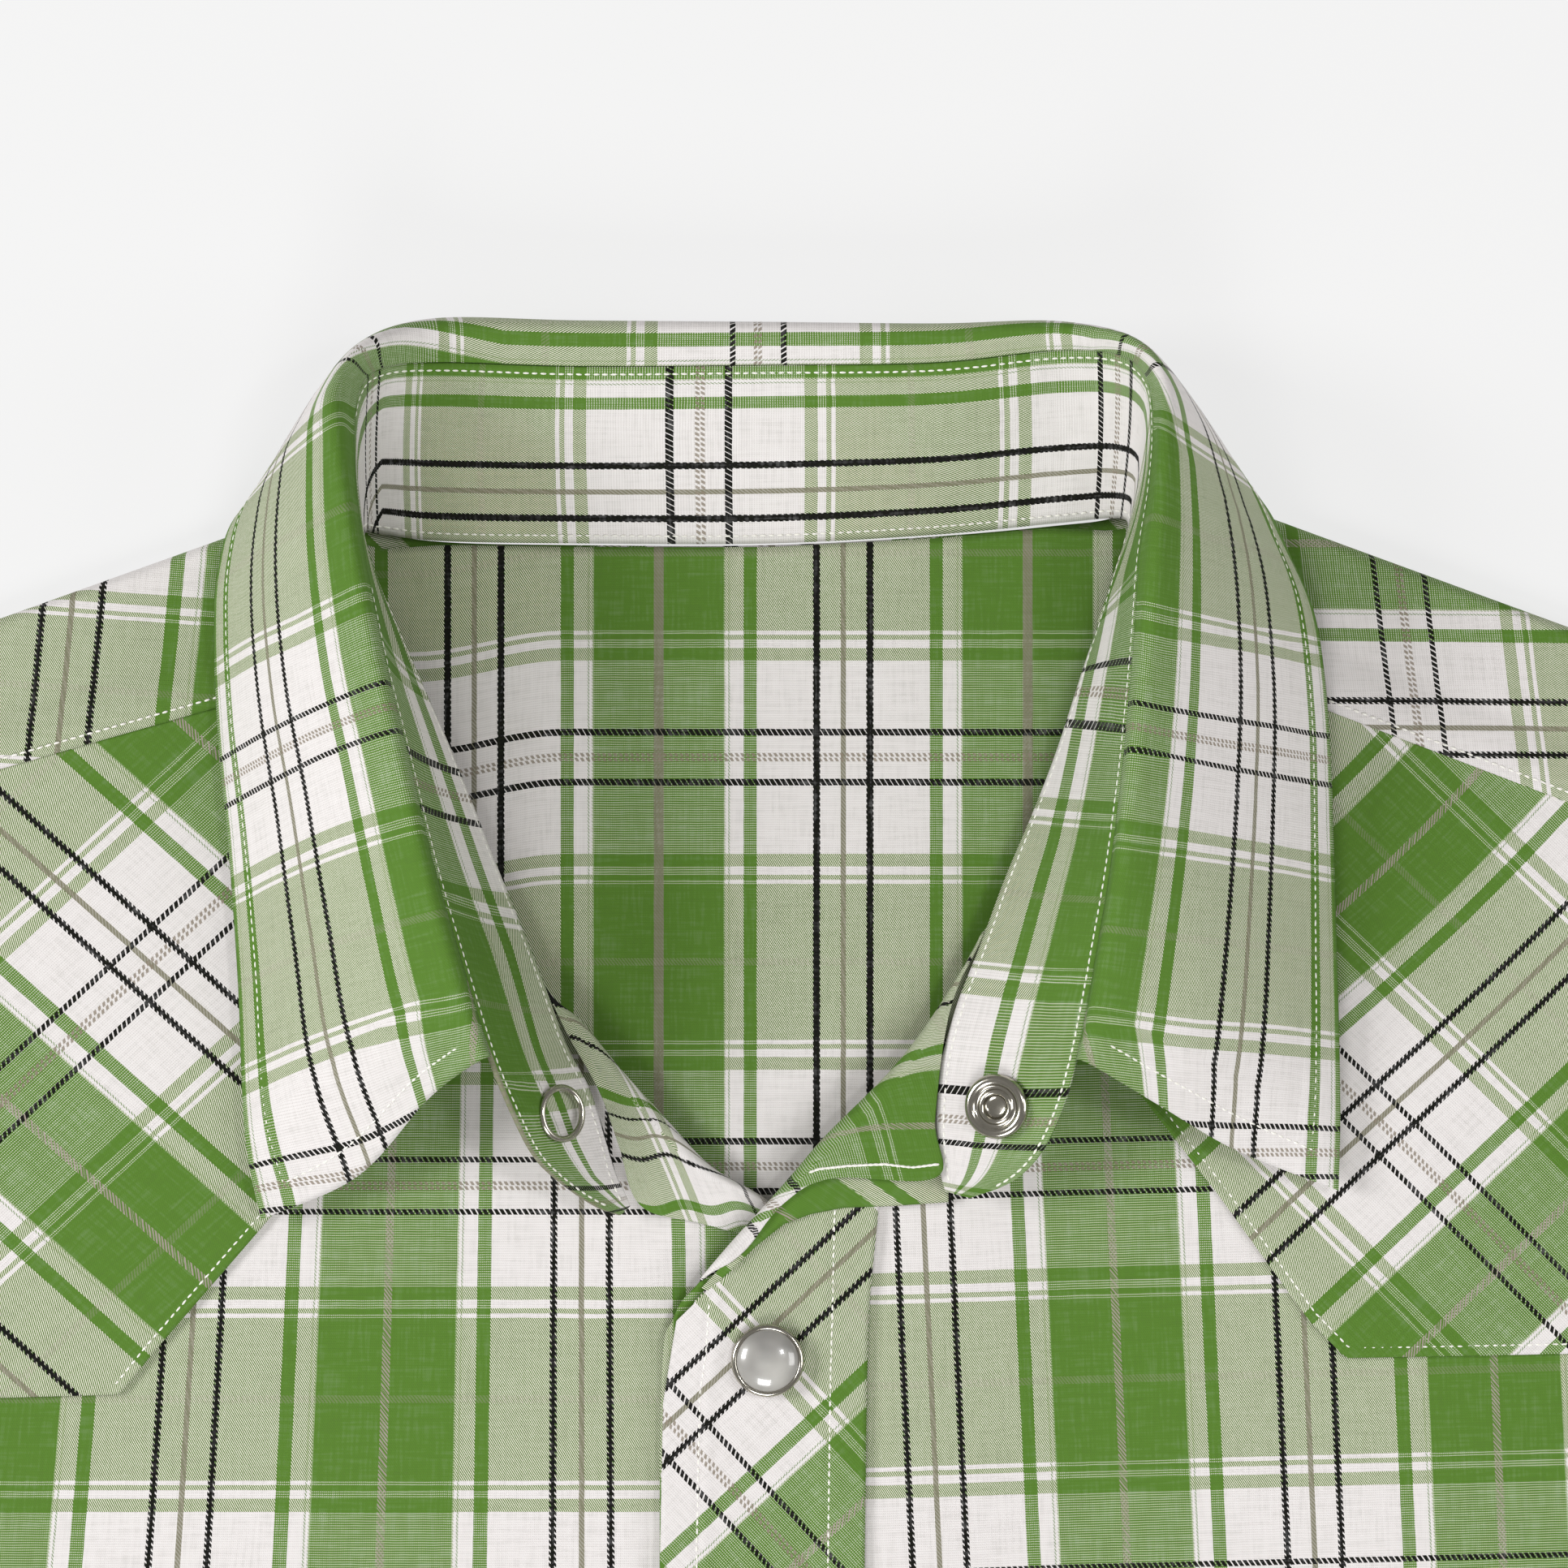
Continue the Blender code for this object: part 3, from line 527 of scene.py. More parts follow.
class Curve:
    """A smooth curve through points, read by row: 1.5 is half way between its second and third points."""

    def __init__(self, points: Sequence[Point]) -> None:
        """Keep the points."""
        self.points = [Vector(p) for p in points]
        self.last = len(self.points) - 1

    def at(self, place: float) -> Vector:
        """The curve's point at a place.

        Args:
            place: Row, with the share of the way to the next.

        Returns:
            The point.
        """
        k = min(max(int(place), 0), self.last - 1)
        t = place - k
        b, c = self.points[k], self.points[k + 1]
        a = self.points[k - 1] if k else b * 2 - c
        d = self.points[k + 2] if k + 2 <= self.last else c * 2 - b
        square, cube = 2 * a - 5 * b + 4 * c - d, 3 * b - a - 3 * c + d
        return 0.5 * (2 * b + (c - a) * t + square * t * t + cube * t ** 3)

    def rows(self, spacing: Callable[[Vector], float]) -> list[float]:
        """Places along the curve, no further apart than the spacing wanted at each point.

        Args:
            spacing: Gives the spacing at a point.

        Returns:
            The places, from the first row to the last.
        """
        found = [0.0]
        for k in range(self.last):
            length = (self.points[k + 1] - self.points[k]).length
            steps = max(1, math.ceil(length / spacing(self.points[k])))
            found += [k + (i + 1) / steps for i in range(steps)]
        return found


class Route:
    """A plain polyline, read by its share of length."""

    def __init__(self, points: Sequence[Point]) -> None:
        """Measure the polyline."""
        self.points = [Vector(p) for p in points]
        self.steps = [(q - p).length for p, q in zip(self.points, self.points[1:])]
        self.length = sum(self.steps)

    def at(self, share: float) -> Vector:
        """The point at a share of the length.

        Args:
            share: From 0 to 1.

        Returns:
            The point.
        """
        left = self.length * min(max(share, 0.0), 1.0)
        k = 0
        while k < len(self.steps) - 1 and left > self.steps[k]:
            left -= self.steps[k]
            k += 1
        return self.points[k].lerp(self.points[k + 1], min(left / self.steps[k], 1.0))


def distance_to(polyline: Sequence[Point], x: float, y: float) -> float:
    """Shortest way in the plane from a point to a polyline.

    Args:
        polyline: Its points.
        x: The point's place across.
        y: And along.

    Returns:
        The distance.
    """
    best = 1e9
    for a, b in zip(polyline, polyline[1:]):
        dx, dy = b[0] - a[0], b[1] - a[1]
        t = min(max(((x - a[0]) * dx + (y - a[1]) * dy) / (dx * dx + dy * dy), 0.0), 1.0)
        best = min(best, math.hypot(x - a[0] - dx * t, y - a[1] - dy * t))
    return best


def ripple(x: float, y: float, size: float, seed: float = 0.0) -> float:
    """Smooth random height from about -1 to 1, with hills of the given size."""
    return noise.noise(Vector((x / size, y / size, seed)))


def creased(creases: Sequence[Crease], x: float, y: float) -> float:
    """Height that the creases add at a place; each fades out towards its two ends.

    Args:
        creases: The creases.
        x: The place across.
        y: And along.

    Returns:
        The height.
    """
    height = 0.0
    for crease in creases:
        (ax, ay), (bx, by) = crease.start, crease.end
        dx, dy = bx - ax, by - ay
        t = ((x - ax) * dx + (y - ay) * dy) / (dx * dx + dy * dy)
        if -0.2 < t < 1.2:
            off = math.hypot(x - ax - dx * t, y - ay - dy * t)
            if off < 2.5 * crease.width:
                fade = smoothstep((t + 0.2) / 0.45) * smoothstep((1.2 - t) / 0.45)
                height += crease.depth * fade * math.exp(-(off / crease.width) ** 2)
    return height


def hem_relief(off: float, along: float, stitch: float, turned: float, rise: float) -> float:
    """Height of a turned, stitched edge: thick inside its turning, with a dent and puckers at the stitches.

    Args:
        off: Distance from the edge.
        along: Distance along the edge.
        stitch: How far inside the edge the stitches are.
        turned: How wide the turning is.
        rise: How much thicker the turning is.

    Returns:
        Height to add to the upper side.
    """
    if off > turned + 6.0:
        return 0.0
    dent = -0.24 * math.exp(-((off - stitch) / 0.5) ** 2)
    pucker = 0.16 * ripple(along, off * 0.5, 2.6, 3.0) * math.exp(-((off - stitch) / 3.2) ** 2)
    return rise * (1.0 - smoothstep((off - turned) / 1.2)) + dent + pucker


BACK_LENGTH, TAIL_RISE, TAIL_HALF_WIDTH = 750.0, 110.0, 270.0
SHOULDER_TIP = (225.0, -44.0)
YOKE_POINT, YOKE_SIDE, YOKE_HALF_WIDTH, YOKE_RAMP = -185.0, -146.0, 212.0, 7.0
WALL = 1.0                       # the solids' wall, whose middle these surfaces follow
AIR = 0.9                        # most air between the shirt's lower and its upper side
NECK_REACH = 16.0                # how far from the neck the fronts rise to its seam
ARMHOLE = ((225.0, -44.0), (218.5, -66.0), (213.5, -92.0), (210.5, -122.0), (211.5, -150.0), (215.0, -168.0),
           (221.0, -188.0), (230.0, -206.0), (242.0, -224.0), (275.0, -252.0))
SIDE_SEAM = ((273.0, -285.0), (266.0, -360.0), (262.0, -470.0), (266.0, -570.0), (270.0, -640.0))
NECK_COURSE = 3                  # the course where the neck seam ends and the roll begins, on both fronts
FRONT_RIGHT = (
    Course((-69.4, -20.6), -63.6),
    Course((-60.0, -38.6), -92.0),
    Course((-51.4, -60.2), -122.0),
    Course((-42.0, -82.0), -150.0),
    Course((-34.6, -89.4), -168.0),
    Course((-27.6, -98.0), -188.0),
    Course((-19.6, -106.8), -206.0),
    Course((-10.8, -116.2), -224.0),
    Course((-0.4, -122.6), -240.0),
    Course((12.0, -133.0), -252.0),
    Course((17.6, -160.0), -285.0),
    Course((18.0, -250.0), -360.0),
    Course((18.0, -420.0), -470.0),
    Course((18.0, -600.0), -570.0),
    Course((18.0, -750.0), -640.0),
)
FRONT_LEFT = (
    Course((61.8, -14.6), -74.0),
    Course((54.6, -38.2), -98.0),
    Course((46.4, -59.2), -124.0),
    Course((40.2, -72.6), -148.0),
    Course((32.1, -86.2), -170.0),
    Course((23.6, -97.6), -190.0),
    Course((11.1, -110.2), -210.0),
    Course((5.9, -116.2), -218.0),
    Course((0.6, -122.3), -226.0),
    Course((-6.4, -130.0), -239.0),
    Course((-12.6, -137.4), -252.0),
    Course((-17.4, -144.0), -270.0),
    Course((-19.8, -160.0), -290.0),
    Course((-20.0, -250.0), -360.0),
    Course((-20.0, -420.0), -470.0),
    Course((-20.0, -600.0), -570.0),
    Course((-20.0, -750.0), -640.0),
)
NECK_RIGHT = ((-77.0, 9.0), (-74.8, -1.0)) + tuple(row.inner for row in FRONT_RIGHT[:NECK_COURSE + 6])
NECK_LEFT = ((72.0, 12.0), (67.0, 0.0)) + tuple(row.inner for row in FRONT_LEFT[:NECK_COURSE + 8])


def side_point(side: Side, y: float) -> tuple[float, float]:
    """The point of the armhole or the side seam at this height.

    Args:
        side: Which side of the shirt.
        y: The height along the shirt.

    Returns:
        The point.
    """
    line = ARMHOLE + SIDE_SEAM
    for (ax, ay), (bx, by) in zip(line, line[1:]):
        if y >= by:
            return (side * (ax + (bx - ax) * min(max((ay - y) / (ay - by), 0.0), 1.0)), y)
    return (side * line[-1][0], y)


def hem_line(x: float) -> float:
    """Height of the curved hem across the shirt."""
    return -BACK_LENGTH + TAIL_RISE * min(abs(x / TAIL_HALF_WIDTH), 1.0) ** 3


def yoke_line(x: float) -> float:
    """Lower edge of the back yoke, a shallow point at the middle of the back."""
    return YOKE_POINT + (YOKE_SIDE - YOKE_POINT) * min(abs(x) / YOKE_HALF_WIDTH, 1.0) ** 0.8


def back_height(x: float, y: float) -> float:
    """Middle of the back: on the yoke, and below it down on the surface."""
    return WALL / 2 + LAYER * smoothstep((y - yoke_line(x) + YOKE_RAMP) / YOKE_RAMP)


def body_height(x: float, y: float) -> float:
    """Middle of the upper side: clear of the back and its yoke, with the air that lies between the layers."""
    on_yoke = LAYER * smoothstep((y - YOKE_POINT + YOKE_RAMP + 150.0) / 150.0)
    air = AIR * smoothstep((215.0 - abs(x)) / 60.0)
    return WALL / 2 + on_yoke + LAYER + 0.1 + air


def right_height(x: float, y: float) -> float:
    """Middle of the right front, which rises to the neck seam and flattens under the left front."""
    rise = 0.3 + 2.7 * smoothstep((y + 124.0) / 40.0)
    return body_height(x, y) + rise * math.exp(-(distance_to(NECK_RIGHT, x, y) / NECK_REACH) ** 2)


def left_height(x: float, y: float) -> float:
    """Middle of the left front, which lies over the right one."""
    over = 1.5 * smoothstep((62.0 - x) / 36.0)
    rise = 2.5 - 0.2 * smoothstep((y + 110.0) / 50.0)
    return body_height(x, y) + over + rise * math.exp(-(distance_to(NECK_LEFT, x, y) / NECK_REACH) ** 2)


def left_shoulder_height(x: float, y: float) -> float:
    """Middle of the upper layer over the left shoulder, which rises to the neck seam."""
    return body_height(x, y) + 3.0 * math.exp(-(distance_to(NECK_LEFT, x, y) / NECK_REACH) ** 2)


class Table:
    """Values given at some rows of a table, and read between them in straight lines."""

    def __init__(self, *pairs: tuple[float, float]) -> None:
        """Keep the pairs of row and value, in order."""
        self.pairs = pairs

    def at(self, place: float) -> float:
        """The value at a row.

        Args:
            place: The row.

        Returns:
            The value.
        """
        for (a, first), (b, second) in zip(self.pairs, self.pairs[1:]):
            if place <= b:
                return first + (second - first) * max(place - a, 0.0) / (b - a)
        return self.pairs[-1][1]


# ---------------------------------------------------------------- cloth and sewing

@dataclass(frozen=True)
class Grain:
    """How a piece was cut from the plaid: where its map has (u, v), and which way weft and warp run."""

    x: float
    y: float
    weft: float = 0.0                # degrees from x, the direction that u grows in
    warp: float = 90.0               # degrees from x, the direction that v grows in
    u: float = 0.0
    v: float = 0.0
    u_scale: float = 1.0
    v_scale: float = 1.0
    fan: float = 0.0                 # how much the warp spreads for each millimetre down
    fan_reach: float = 75.0          # and how far down it goes on spreading

    def at(self, x: float, y: float) -> tuple[float, float]:
        """The cloth's map at a place, in metres.

        Args:
            x: The place across.
            y: And along.

        Returns:
            Across the warp and along it.
        """
        cx, cy = math.cos(math.radians(self.weft)), math.sin(math.radians(self.weft))
        wx, wy = math.cos(math.radians(self.warp)), math.sin(math.radians(self.warp))
        dx, dy = x - self.x, y - self.y
        turn = cx * wy - cy * wx
        across = (dx * wy - dy * wx) / turn
        along = (cx * dy - cy * dx) / turn
        spread = 1.0 + self.fan * max(along, -self.fan_reach)
        return ((self.u + across * self.u_scale * spread) * MM, (self.v + along * self.v_scale) * MM)


@dataclass(frozen=True)
class BentGrain(Grain):
    """A grain whose warp lines lie closer together where the cloth leans away from above."""

    lines: Table = Table((0.0, 0.0), (1.0, 1.0))

    def at(self, x: float, y: float) -> tuple[float, float]:
        """The cloth's map at a place, in metres."""
        u, v = super().at(x, y)
        return (self.lines.at(u / MM) * MM, v)


class Sheet:
    """A sheet of cloth, built from fine grids that are placed by a rule, sewn where they meet."""

    def __init__(self, name: str) -> None:
        """Start with no patches."""
        self.name = name
        self.shape = bmesh.new()
        self.map = self.shape.loops.layers.uv.new("grain")

    def patch(self, across: Sequence[float], along: Sequence[float], place: Callable[[float, float], Point],
              grain: Callable[[float, float, Point], tuple[float, float]]) -> None:
        """Add a grid.

        Args:
            across: Values of the first parameter.
            along: Values of the second one.
            place: Gives the point, in millimetres, for both.
            grain: Gives the cloth's map for both and the point.
        """
        nx, ny = len(across) - 1, len(along) - 1
        part = bmesh.ops.create_grid(self.shape, x_segments=nx, y_segments=ny, size=1.0)
        maps = {}
        for vert in part["verts"]:
            s = across[round((vert.co.x + 1.0) / 2.0 * nx)]
            t = along[round((vert.co.y + 1.0) / 2.0 * ny)]
            point = place(s, t)
            vert.co = placed(point)
            maps[vert] = grain(s, t, point)
        for vert in part["verts"]:
            for loop in vert.link_loops:
                loop[self.map].uv = maps[vert]

    def make(self, finish: bpy.types.Material, wall: float = CLOTH, up: bool = True) -> bpy.types.Object:
        """Sew the patches, face them up and give them their wall.

        Args:
            finish: Material.
            wall: Thickness in millimetres.
            up: Whether most faces look up.

        Returns:
            The piece.
        """
        bmesh.ops.remove_doubles(self.shape, verts=self.shape.verts, dist=0.02 * MM)
        bmesh.ops.recalc_face_normals(self.shape, faces=self.shape.faces)
        leaning = sum(face.normal.z * face.calc_area() for face in self.shape.faces)
        if (leaning > 0) != up:
            bmesh.ops.reverse_faces(self.shape, faces=self.shape.faces)
        piece = add_piece(self.name, self.shape, finish)
        thick = piece.modifiers.new("wall", "SOLIDIFY")
        thick.thickness = wall * MM
        thick.offset = 0.0
        return piece


def add_piece(name: str, shape: bmesh.types.BMesh, *finishes: bpy.types.Material) -> bpy.types.Object:
    """Turn a shape into a smooth-shaded piece that rides with the shirt.

    Args:
        name: The piece's name.
        shape: Its mesh, which is freed.
        finishes: Its materials.

    Returns:
        The piece.
    """
    mesh = bpy.data.meshes.new(name)
    shape.to_mesh(mesh)
    shape.free()
    mesh.shade_smooth()
    for finish in finishes:
        mesh.materials.append(finish)
    piece = bpy.data.objects.new(name, mesh)
    bpy.context.scene.collection.objects.link(piece)
    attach(piece, BODY)
    return piece


def declare(piece: bpy.types.Object, flat: tuple[float, float], rests_on: Sequence[str], *nodes: str) -> None:
    """Hide the CAD parts that a cloth piece stands for.

    Args:
        piece: The piece; not used.
        flat: Width and length of its cut, in metres; not used.
        rests_on: What it lies on; not used.
        nodes: CAD nodes that it stands for.
    """
    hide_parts(*nodes)


POLE_ALONG = Matrix.Rotation(math.pi / 2, 4, "Y")     # lays a bead's poles along its seam


@dataclass
class Sewing:
    """All the white stitches of the shirt, as small flattened beads set along their seams."""

    pitch: float = 1.62
    length: float = 1.24
    width: float = 0.46
    thick: float = 0.34
    sunk: float = 0.02
    shapes: dict[str, bmesh.types.BMesh] = field(default_factory=dict)

    def line(self, group: str, points: Sequence[Vector], normals: Sequence[Vector],
             lift: float = CLOTH / 2) -> None:
        """Sew a line of stitches.

        Args:
            group: Name of the piece that they are joined to.
            points: The line on the middle of the cloth, close enough together to follow it.
            normals: Directions out of the cloth at those points.
            lift: From the middle of the cloth to its face.
        """
        if group not in self.shapes:
            self.shapes[group] = bmesh.new()
        shape = self.shapes[group]
        lengths = [0.0]
        for a, b in zip(points, points[1:]):
            lengths.append(lengths[-1] + (b - a).length)
        rng = random.Random(len(group) * 31 + len(points))
        place, k = self.pitch * 0.5, 0
        while place < lengths[-1] - self.length * 0.5:
            while lengths[k + 1] < place:
                k += 1
            t = (place - lengths[k]) / max(lengths[k + 1] - lengths[k], 1e-6)
            along = (points[k + 1] - points[k]).normalized()
            out = normals[k].lerp(normals[k + 1], t)
            out = (out - along * out.dot(along)).normalized()
            side = out.cross(along)
            tilt = rng.uniform(-0.09, 0.09)
            cos, sin = math.cos(tilt), math.sin(tilt)
            along, side = along * cos + side * sin, side * cos - along * sin
            centre = points[k].lerp(points[k + 1], t) + out * (lift - self.sunk)
            size = (self.length * rng.uniform(0.92, 1.06) / 2 * MM, self.width / 2 * MM, self.thick / 2 * MM)
            turn = Matrix((along * size[0], side * size[1], out * size[2])).transposed().to_4x4()
            bmesh.ops.create_uvsphere(shape, u_segments=6, v_segments=4, radius=1.0,
                                      matrix=Matrix.Translation(placed(centre)) @ turn @ POLE_ALONG)
            place += self.pitch * rng.uniform(0.97, 1.03)

    def make(self, thread: bpy.types.Material) -> list[bpy.types.Object]:
        """Turn each group of stitches into a piece.

        Args:
            thread: The material.

        Returns:
            The pieces.
        """
        made = []
        for group, shape in self.shapes.items():
            piece = add_piece(group, shape, thread)
            made.append(piece)
        self.shapes = {}
        return made


def sew_on(sewing: Sewing, group: str, route: Sequence[Point],
           height: Callable[[float, float], float]) -> None:
    """Sew along a route in the plane on a surface that is given by its height.

    Args:
        sewing: Takes the stitches.
        group: Piece that they are joined to.
        route: Points of the plane.
        height: Height of the cloth's middle at a place.
    """
    path = Route(route)
    count = max(2, int(path.length / 0.8))
    points, normals = [], []
    for i in range(count + 1):
        x, y = path.at(i / count)
        step = 0.6
        slope_x = (height(x + step, y) - height(x - step, y)) / (2 * step)
        slope_y = (height(x, y + step) - height(x, y - step)) / (2 * step)
        points.append(Vector((x, y, height(x, y))))
        normals.append(Vector((-slope_x, -slope_y, 1.0)).normalized())
    sewing.line(group, points, normals)


# ---------------------------------------------------------------- body pieces

@dataclass
class Front:
    """A front panel whose corner at the neck is turned out over it."""

    name: str
    side: Side
    courses: tuple[Course, ...]
    turns: tuple[Turn, ...]
    base: Callable[[float, float], float]
    grain: Grain
    turned_grain: Grain
    creases: tuple[Crease, ...] = ()
    across: int = 96
    swell: float = 0.35              # soft unevenness of cloth that isn't pressed
    bend: float = 4.0                # how far the turned corner's lines are pulled down along its fold
    bend_reach: float = 2.0
    wave: float = 0.0                # how far they wave
    wave_pitch: float = 10.5
    wave_from: Point = (-25.8, -106.1)
    wave_slant: float = 0.28
    fine_to: float = -215.0          # down to here the rows lie close together
    coarse: float = 7.0              # and this far apart below
    lip: tuple[tuple[Point, ...], tuple[Point, ...]] | None = None
    lip_grain: Grain | None = None
    lip_lift: float = 2.1

    def __post_init__(self) -> None:
        """Work out the panel's inner edge and its turned corner."""
        self.inner = Curve([(*row.inner, 0.0) for row in self.courses])
        self.first = NECK_COURSE
        self.last = NECK_COURSE + len(self.turns)
        self.edge = Curve([(*turn.edge, turn.height) for turn in self.turns]
                          + [(*self.courses[self.last].inner, self.turns[-1].height)])
        self.lip_routes = tuple(Route(line) for line in self.lip or ())

    def height(self, x: float, y: float) -> float:
        """Middle of the panel."""
        swell = self.swell * smoothstep((-y - 20.0) / 60.0)
        return self.base(x, y) + creased(self.creases, x, y) + swell * ripple(x, y, 38.0, self.side * 4.0)

    def turned(self, place: float) -> tuple[Vector, Vector, float, float, float, float]:
        """The turned corner at a place along the roll.

        Args:
            place: Row of the courses.

        Returns:
            The fold's point, the way out from it, how far, the roll's radius, its low and its top height.
        """
        fold = self.inner.at(place)
        low = self.height(fold.x, fold.y)
        if not self.first <= place <= self.last:
            return fold, Vector((1.0, 0.0, 0.0)), 0.0, 0.0, low, low
        edge = self.edge.at(place - self.first)
        out = Vector((edge.x - fold.x, edge.y - fold.y, 0.0))
        reach = out.length
        if reach < 0.05:
            return fold, Vector((1.0, 0.0, 0.0)), 0.0, 0.0, low, low
        ends = min(1.0, (self.last - place) / 0.8)
        top = low + (edge.z - low) * smoothstep(ends)
        return fold, out / reach, reach, min((top - low) / 2, reach / 2.2), low, top

    def body_point(self, s: float, place: float) -> Point:
        """A point of the panel.

        Args:
            s: From 0 at the fold to 1.
            place: Row of the courses.

        Returns:
            The point.
        """
        fold, out, _, radius, _, _ = self.turned(place)
        k = min(int(place), len(self.courses) - 2)
        side = self.courses[k].side + (self.courses[k + 1].side - self.courses[k].side) * (place - k)
        outer = side_point(self.side, side)
        start = fold + out * radius
        x, y = mix((start.x, start.y), outer, s)
        y += (hem_line(x) - y) * smoothstep((-fold.y - 420.0) / (BACK_LENGTH - 420.0))
        return (x, y, self.height(x, y))

    def corner_point(self, s: float, place: float) -> Point:
        """A point of the turned corner: half of it is the roll, the rest lies flat out to the edge.

        Args:
            s: From 0 at the fold to 1.
            place: Row of the courses.

        Returns:
            The point.
        """
        fold, out, reach, radius, low, top = self.turned(place)
        if s <= 0.4:
            angle = math.radians(-90.0 + 450.0 * s)
            flat = fold + out * radius * (1.0 - math.cos(angle))
            return (flat.x, flat.y, (top + low) / 2 + (top - low) / 2 * math.sin(angle))
        share = (s - 0.4) / 0.6
        flat = fold + out * (radius + (reach - radius) * share)
        wave = 0.3 * math.sin(math.pi * share) * ripple(flat.x, flat.y, 14.0, 7.0)
        return (flat.x, flat.y, top + wave)

    def corner_grain(self, s: float, place: float, point: Point) -> tuple[float, float]:
        """The cloth's map on the turned corner, unrolled.

        Args:
            s: From 0 at the fold to 1.
            place: Row of the courses.
            point: The point there.

        Returns:
            The map.
        """
        fold, out, _, radius, _, _ = self.turned(place)
        off = radius * (s - 0.2) * 6.0
        flat = fold + out * off
        if s > 0.4:
            flat = Vector((point[0], point[1], 0.0))
            off = math.hypot(flat.x - fold.x, flat.y - fold.y)
        pulled = self.bend * math.exp(-max(off, 0.0) / self.bend_reach)
        run = flat.x - self.wave_from[0] + (flat.y - self.wave_from[1]) * self.wave_slant
        waved = self.wave * math.cos(math.tau * run / self.wave_pitch)
        return self.turned_grain.at(flat.x, flat.y + pulled + waved)

    def lip_point(self, s: float, t: float) -> Point:
        """A point of the seam allowance that shows below the turned corner's rim.

        Args:
            s: From its hidden side to its edge.
            t: Along the rim.

        Returns:
            The point.
        """
        hidden, edge = self.lip_routes
        x, y = hidden.at(t).lerp(edge.at(t), s)
        ease = 0.62 + 0.38 * smoothstep((1.0 - t) / 0.2)
        wave = 0.25 * ripple(x, y, 9.0, 5.0)
        rolled = 0.5 * smoothstep((s - 0.85) / 0.15)
        return (x, y, self.height(x, y) + (self.lip_lift + wave) * ease - rolled)

    def build(self, finish: bpy.types.Material) -> bpy.types.Object:
        """Build the panel.

        Args:
            finish: The cloth.

        Returns:
            The piece.
        """
        sheet = Sheet(self.name)
        places = self.inner.rows(lambda p: 1.6 if p.y > self.fine_to else self.coarse)
        sheet.patch(shares(self.across, 1.35), places, self.body_point,
                    lambda s, place, point: self.grain.at(point[0], point[1]))
        roll = self.inner.rows(lambda p: 0.7 if p.y > self.fine_to else self.coarse)
        roll = [place for place in roll if self.first <= place <= self.last]
        sheet.patch(shares(40), roll, self.corner_point, self.corner_grain)
        if self.lip:
            sheet.patch(shares(16), shares(90), self.lip_point,
                        lambda s, t, point: self.lip_grain.at(*point[:2]))
        piece = sheet.make(finish)
        declare(piece, (0.30, 0.78), ("back", "back_yoke"), self.name)
        return piece


@dataclass
class FrontYoke:
    """A pointed yoke laid on a front, cut on the bias."""

    name: str
    front: Front
    edge: tuple[Point, ...]
    grain: Grain
    drawn: Point = (0.0, 0.0)        # how far the cloth is drawn aside at the shoulder, beside the collar
    drawn_at: Point = (104.0, -46.0)
    drawn_reach: float = 45.0
    beside_stand: float = 1.5
    lift: float = 0.9
    stitch: float = 1.8

    def __post_init__(self) -> None:
        """Work out the yoke's four edges."""
        beside = self.front.side * self.beside_stand
        neck = [row.inner for row in self.front.courses[:3]] + [self.edge[0]]
        arm = [side_point(self.front.side, row.side) for row in self.front.courses[:2]] + [self.edge[-1]]
        self.neck = Route([(x + beside, y) for x, y in neck])
        self.arm = Route(arm)
        self.seam = Route([self.neck.at(0.0), self.arm.at(0.0)])
        self.lower = Route([self.neck.at(1.0)] + [Vector(p) for p in self.edge[1:]])
        self.outline = [tuple(p) for p in self.lower.points]

    def height(self, x: float, y: float) -> float:
        """Middle of the yoke with its turned and stitched edge."""
        off = distance_to(self.outline, x, y)
        return self.front.height(x, y) + self.lift + hem_relief(off, x - y, self.stitch, 8.0, 0.2)

    def point(self, s: float, t: float) -> Point:
        """A point of the yoke between its edges.

        Args:
            s: From the neck to the armhole.
            t: From the shoulder down.

        Returns:
            The point.
        """
        ruled = self.seam.at(s).lerp(self.lower.at(s), t) + self.neck.at(t).lerp(self.arm.at(t), s)
        above = self.seam.at(0.0).lerp(self.seam.at(1.0), s)
        below = self.lower.at(0.0).lerp(self.lower.at(1.0), s)
        x, y = ruled - above.lerp(below, t)
        return (x, y, self.height(x, y))

    def cut(self, s: float, t: float, point: Point) -> tuple[float, float]:
        """The cloth's map on the yoke.

        Args:
            s: From the neck to the armhole.
            t: From the shoulder down.
            point: The point there.

        Returns:
            The map.
        """
        x, y = point[0], point[1]
        away = math.hypot(x - self.drawn_at[0], y - self.drawn_at[1]) / self.drawn_reach
        share = math.exp(-away * away)
        return self.grain.at(x - self.drawn[0] * share, y - self.drawn[1] * share)

    def build(self, finish: bpy.types.Material, sewing: Sewing) -> bpy.types.Object:
        """Build and sew the yoke.

        Args:
            finish: The cloth.
            sewing: Takes its stitches.

        Returns:
            The piece.
        """
        sheet = Sheet(self.name)
        sheet.patch(shares(150), shares(100), self.point, self.cut)
        piece = sheet.make(finish)
        declare(piece, (0.17, 0.14), (self.front.name,), self.name)
        middle = Vector((self.front.side * 115.0, -90.0))
        inset = inset_route(self.outline, middle, self.stitch)
        sew_on(sewing, "yoke_stitching", inset, self.height)
        return piece


